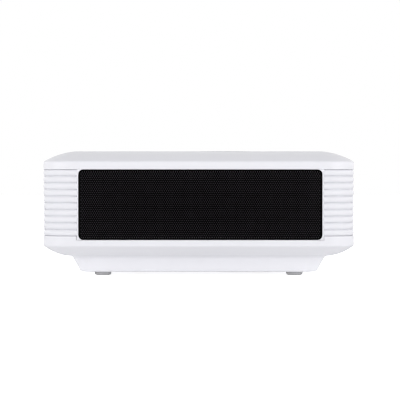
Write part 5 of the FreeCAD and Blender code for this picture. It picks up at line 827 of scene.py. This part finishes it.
def solder_mask():
    """Green mask over a fine weave, with pale traces and bare plated holes."""
    board, tree, shader = new_material("green_solder_mask")
    at = object_place(tree)
    cells = put(tree, "ShaderNodeTexVoronoi", Vector=at, Scale=260.0, Randomness=0.75)
    cells.distance = "MANHATTAN"
    via = put(tree, "ShaderNodeTexVoronoi", Vector=at, Scale=420.0)
    weave = noise(tree, at, Scale=1800.0, Detail=3.0)
    lines, gap, hole_radius = 6.0, 0.3, 0.16  # traces round a cell, their gap, and a hole in its cell
    line = math_node(tree, "PINGPONG", math_node(tree, "MULTIPLY", cells.outputs["Distance"], lines), 0.5)
    trace = math_node(tree, "GREATER_THAN", line, gap)
    hole = math_node(tree, "LESS_THAN", via.outputs["Distance"], hole_radius)
    mask = tint_between(tree, trace, (0.012, 0.085, 0.035), (0.03, 0.17, 0.07))
    fill(tree, shader, Coat_Weight=0.4, Base_Color=tint_between(tree, hole, mask, (0.45, 0.36, 0.16)),
         Roughness=ranged(tree, weave, To_Min=0.25, To_Max=0.45))
    relief(tree, math_node(tree, "ADD", trace, math_node(tree, "MULTIPLY", weave, 0.3)), depth=0.00003)
    return board


dress(solder_mask(), "circuit_boards", "key_board", "front_board")
dress(moulded_plastic("epoxy_packages", (0.022, 0.023, 0.026), drift=0.3, rough=(0.4, 0.6), grain=2400.0,
                      ripple=120.0, share=0.3, depth=0.00001, dust=0.2), "board_parts")


# ---------------------------------------------------------------- disc loader
# A black moulded chassis and tray with its rack; acetal gears, cam and disc clamp; a rubber belt; and
# below the tray the hinged deck with the spindle, the guide rods, the sled and its lead screw.

dress(BLACK_ABS, "loader_chassis", "disc_tray", "traverse_frame", "turntable")
ACETAL = moulded_plastic(
    "white_acetal", (0.82, 0.81, 0.76), drift=0.05, rough=(0.3, 0.44), grain=2600.0, ripple=300.0,
    share=0.6, depth=0.000008, dust=0.03, Subsurface_Weight=0.15, Subsurface_Scale=0.002,
)
dress(ACETAL, "drive_gear", "pulley_gear", "cam_slider", "disc_clamp")
GROUND_STEEL = drawn_metal("ground_steel", (0.66, 0.66, 0.67), rough=(0.1, 0.2), stretch=(1.0, 6.0, 1.0),
                           fineness=1500.0, depth=0.000002)
dress(GROUND_STEEL, "guide_rods")
DIE_CAST = drawn_metal("die_cast_zinc", (0.60, 0.61, 0.62), rough=(0.38, 0.52), fineness=1900.0,
                       depth=0.00002)
dress(DIE_CAST, "pickup_sled")


def rolled_thread():
    """The lead screw's rolled thread."""
    metal = drawn_metal("rolled_thread_steel", (0.64, 0.64, 0.65), rough=(0.15, 0.28), fineness=1500.0)
    tree, middle, lead = metal.node_tree, middle_of("lead_screw"), 0.003
    x, y, z = put(tree, "ShaderNodeSeparateXYZ", Vector=object_place(tree)).outputs
    turn = math_node(tree, "ARCTAN2", math_node(tree, "SUBTRACT", z, middle.z),
                     math_node(tree, "SUBTRACT", x, middle.x))
    turns = math_node(tree, "MULTIPLY_ADD", y, 1 / lead, math_node(tree, "MULTIPLY", turn, 1 / math.tau))
    relief(tree, math_node(tree, "PINGPONG", turns, 0.5), depth=0.0006)
    return metal


dress(rolled_thread(), "lead_screw")


# ---------------------------------------------------------------- floor, light and camera
# A white light table under the object, a pale room that is dimmer overhead, and two large soft lamps
# before the corners of one long side.

def white_floor():
    """The light table: the camera sees it brighter than it lights the object."""
    reach = 6.0
    corners = [(-reach, -reach, 0), (reach, -reach, 0), (reach, reach, 0), (-reach, reach, 0)]
    floor = mesh_piece("floor", corners, [(0, 1, 2, 3)])
    white = bpy.data.materials.new("white_floor")
    white.use_nodes = True
    tree = white.node_tree
    tree.nodes.remove(tree.nodes["Principled BSDF"])
    seen = tree.nodes.new("ShaderNodeLightPath").outputs["Is Camera Ray"]
    top = tint_between(tree, seen, (0.86, 0.86, 0.86), (1.7, 1.7, 1.7))
    below = tint_between(tree, seen, (0.18, 0.18, 0.18), (0.48, 0.48, 0.48))
    paint = put(tree, "ShaderNodeBsdfDiffuse", Color=top)
    glow = put(tree, "ShaderNodeEmission", Color=below)
    both = tree.nodes.new("ShaderNodeAddShader")
    tree.links.new(paint.outputs[0], both.inputs[0])
    tree.links.new(glow.outputs[0], both.inputs[1])
    fill(tree, tree.nodes["Material Output"], Surface=both.outputs[0])
    floor.data.materials.append(white)


def pale_room():
    """Pale walls that dim overhead; the camera and reflections see plain white instead."""
    world = bpy.data.worlds.new("pale_room")
    world.use_nodes = True
    bpy.context.scene.world = world
    tree = world.node_tree
    path = tree.nodes.new("ShaderNodeLightPath").outputs
    mirrored = math_node(tree, "MAXIMUM", path["Is Glossy Ray"], path["Is Transmission Ray"])
    seen = math_node(tree, "MAXIMUM", path["Is Camera Ray"], mirrored)
    outwards = tree.nodes.new("ShaderNodeTexCoord").outputs["Generated"]
    height = put(tree, "ShaderNodeSeparateXYZ", Vector=outwards).outputs["Z"]
    overhead = ranged(tree, height, From_Min=0.05, From_Max=0.75, To_Min=0.0, To_Max=1.0)
    walls = tint_between(tree, overhead, (1.86, 1.845, 1.89), (0.30, 0.30, 0.315))
    fill(tree, tree.nodes["Background"], Color=tint_between(tree, seen, walls, (1.0, 1.0, 1.0)))


def soft_lamp(name, place, power):
    """A soft box of 1.2 m by 0.8 m, aimed at the middle of the object."""
    light = bpy.data.lights.new(name, "AREA")
    light.shape = "RECTANGLE"
    light.size, light.size_y = 1.2, 0.8
    light.energy = power
    lamp = new_object(name, light)
    lamp.location = place
    aim = Vector((0, 0, 0.05)) - lamp.location
    lamp.rotation_euler = aim.to_track_quat("-Z", "Y").to_euler()


def long_lens_camera():
    """A 200 mm lens before one long side, a little above it and tilted down to it."""
    distance, aside, height, tilt = 1.95, 0.0011, 0.0855, 0.7217  # metres and degrees
    view = bpy.data.cameras.new("camera")
    view.lens, view.sensor_width = 200.0, 36.0
    view.clip_start, view.clip_end = 0.01, 50.0
    camera = new_object("camera", view)
    camera.location = (distance, aside, height)
    camera.rotation_euler = (math.radians(90 - tilt), 0, math.radians(90))
    bpy.context.scene.camera = camera


white_floor()
pale_room()
soft_lamp("lamp_towards_rear", (1.1, 1.6, 0.2), power=5.4)
soft_lamp("lamp_towards_front", (1.1, -1.6, 0.2), power=4.6)
long_lens_camera()
bpy.context.scene.view_settings.view_transform = "Standard"
bpy.context.scene.cycles.filter_width = 1.1  # as sharp as a small picture of a fine mesh needs
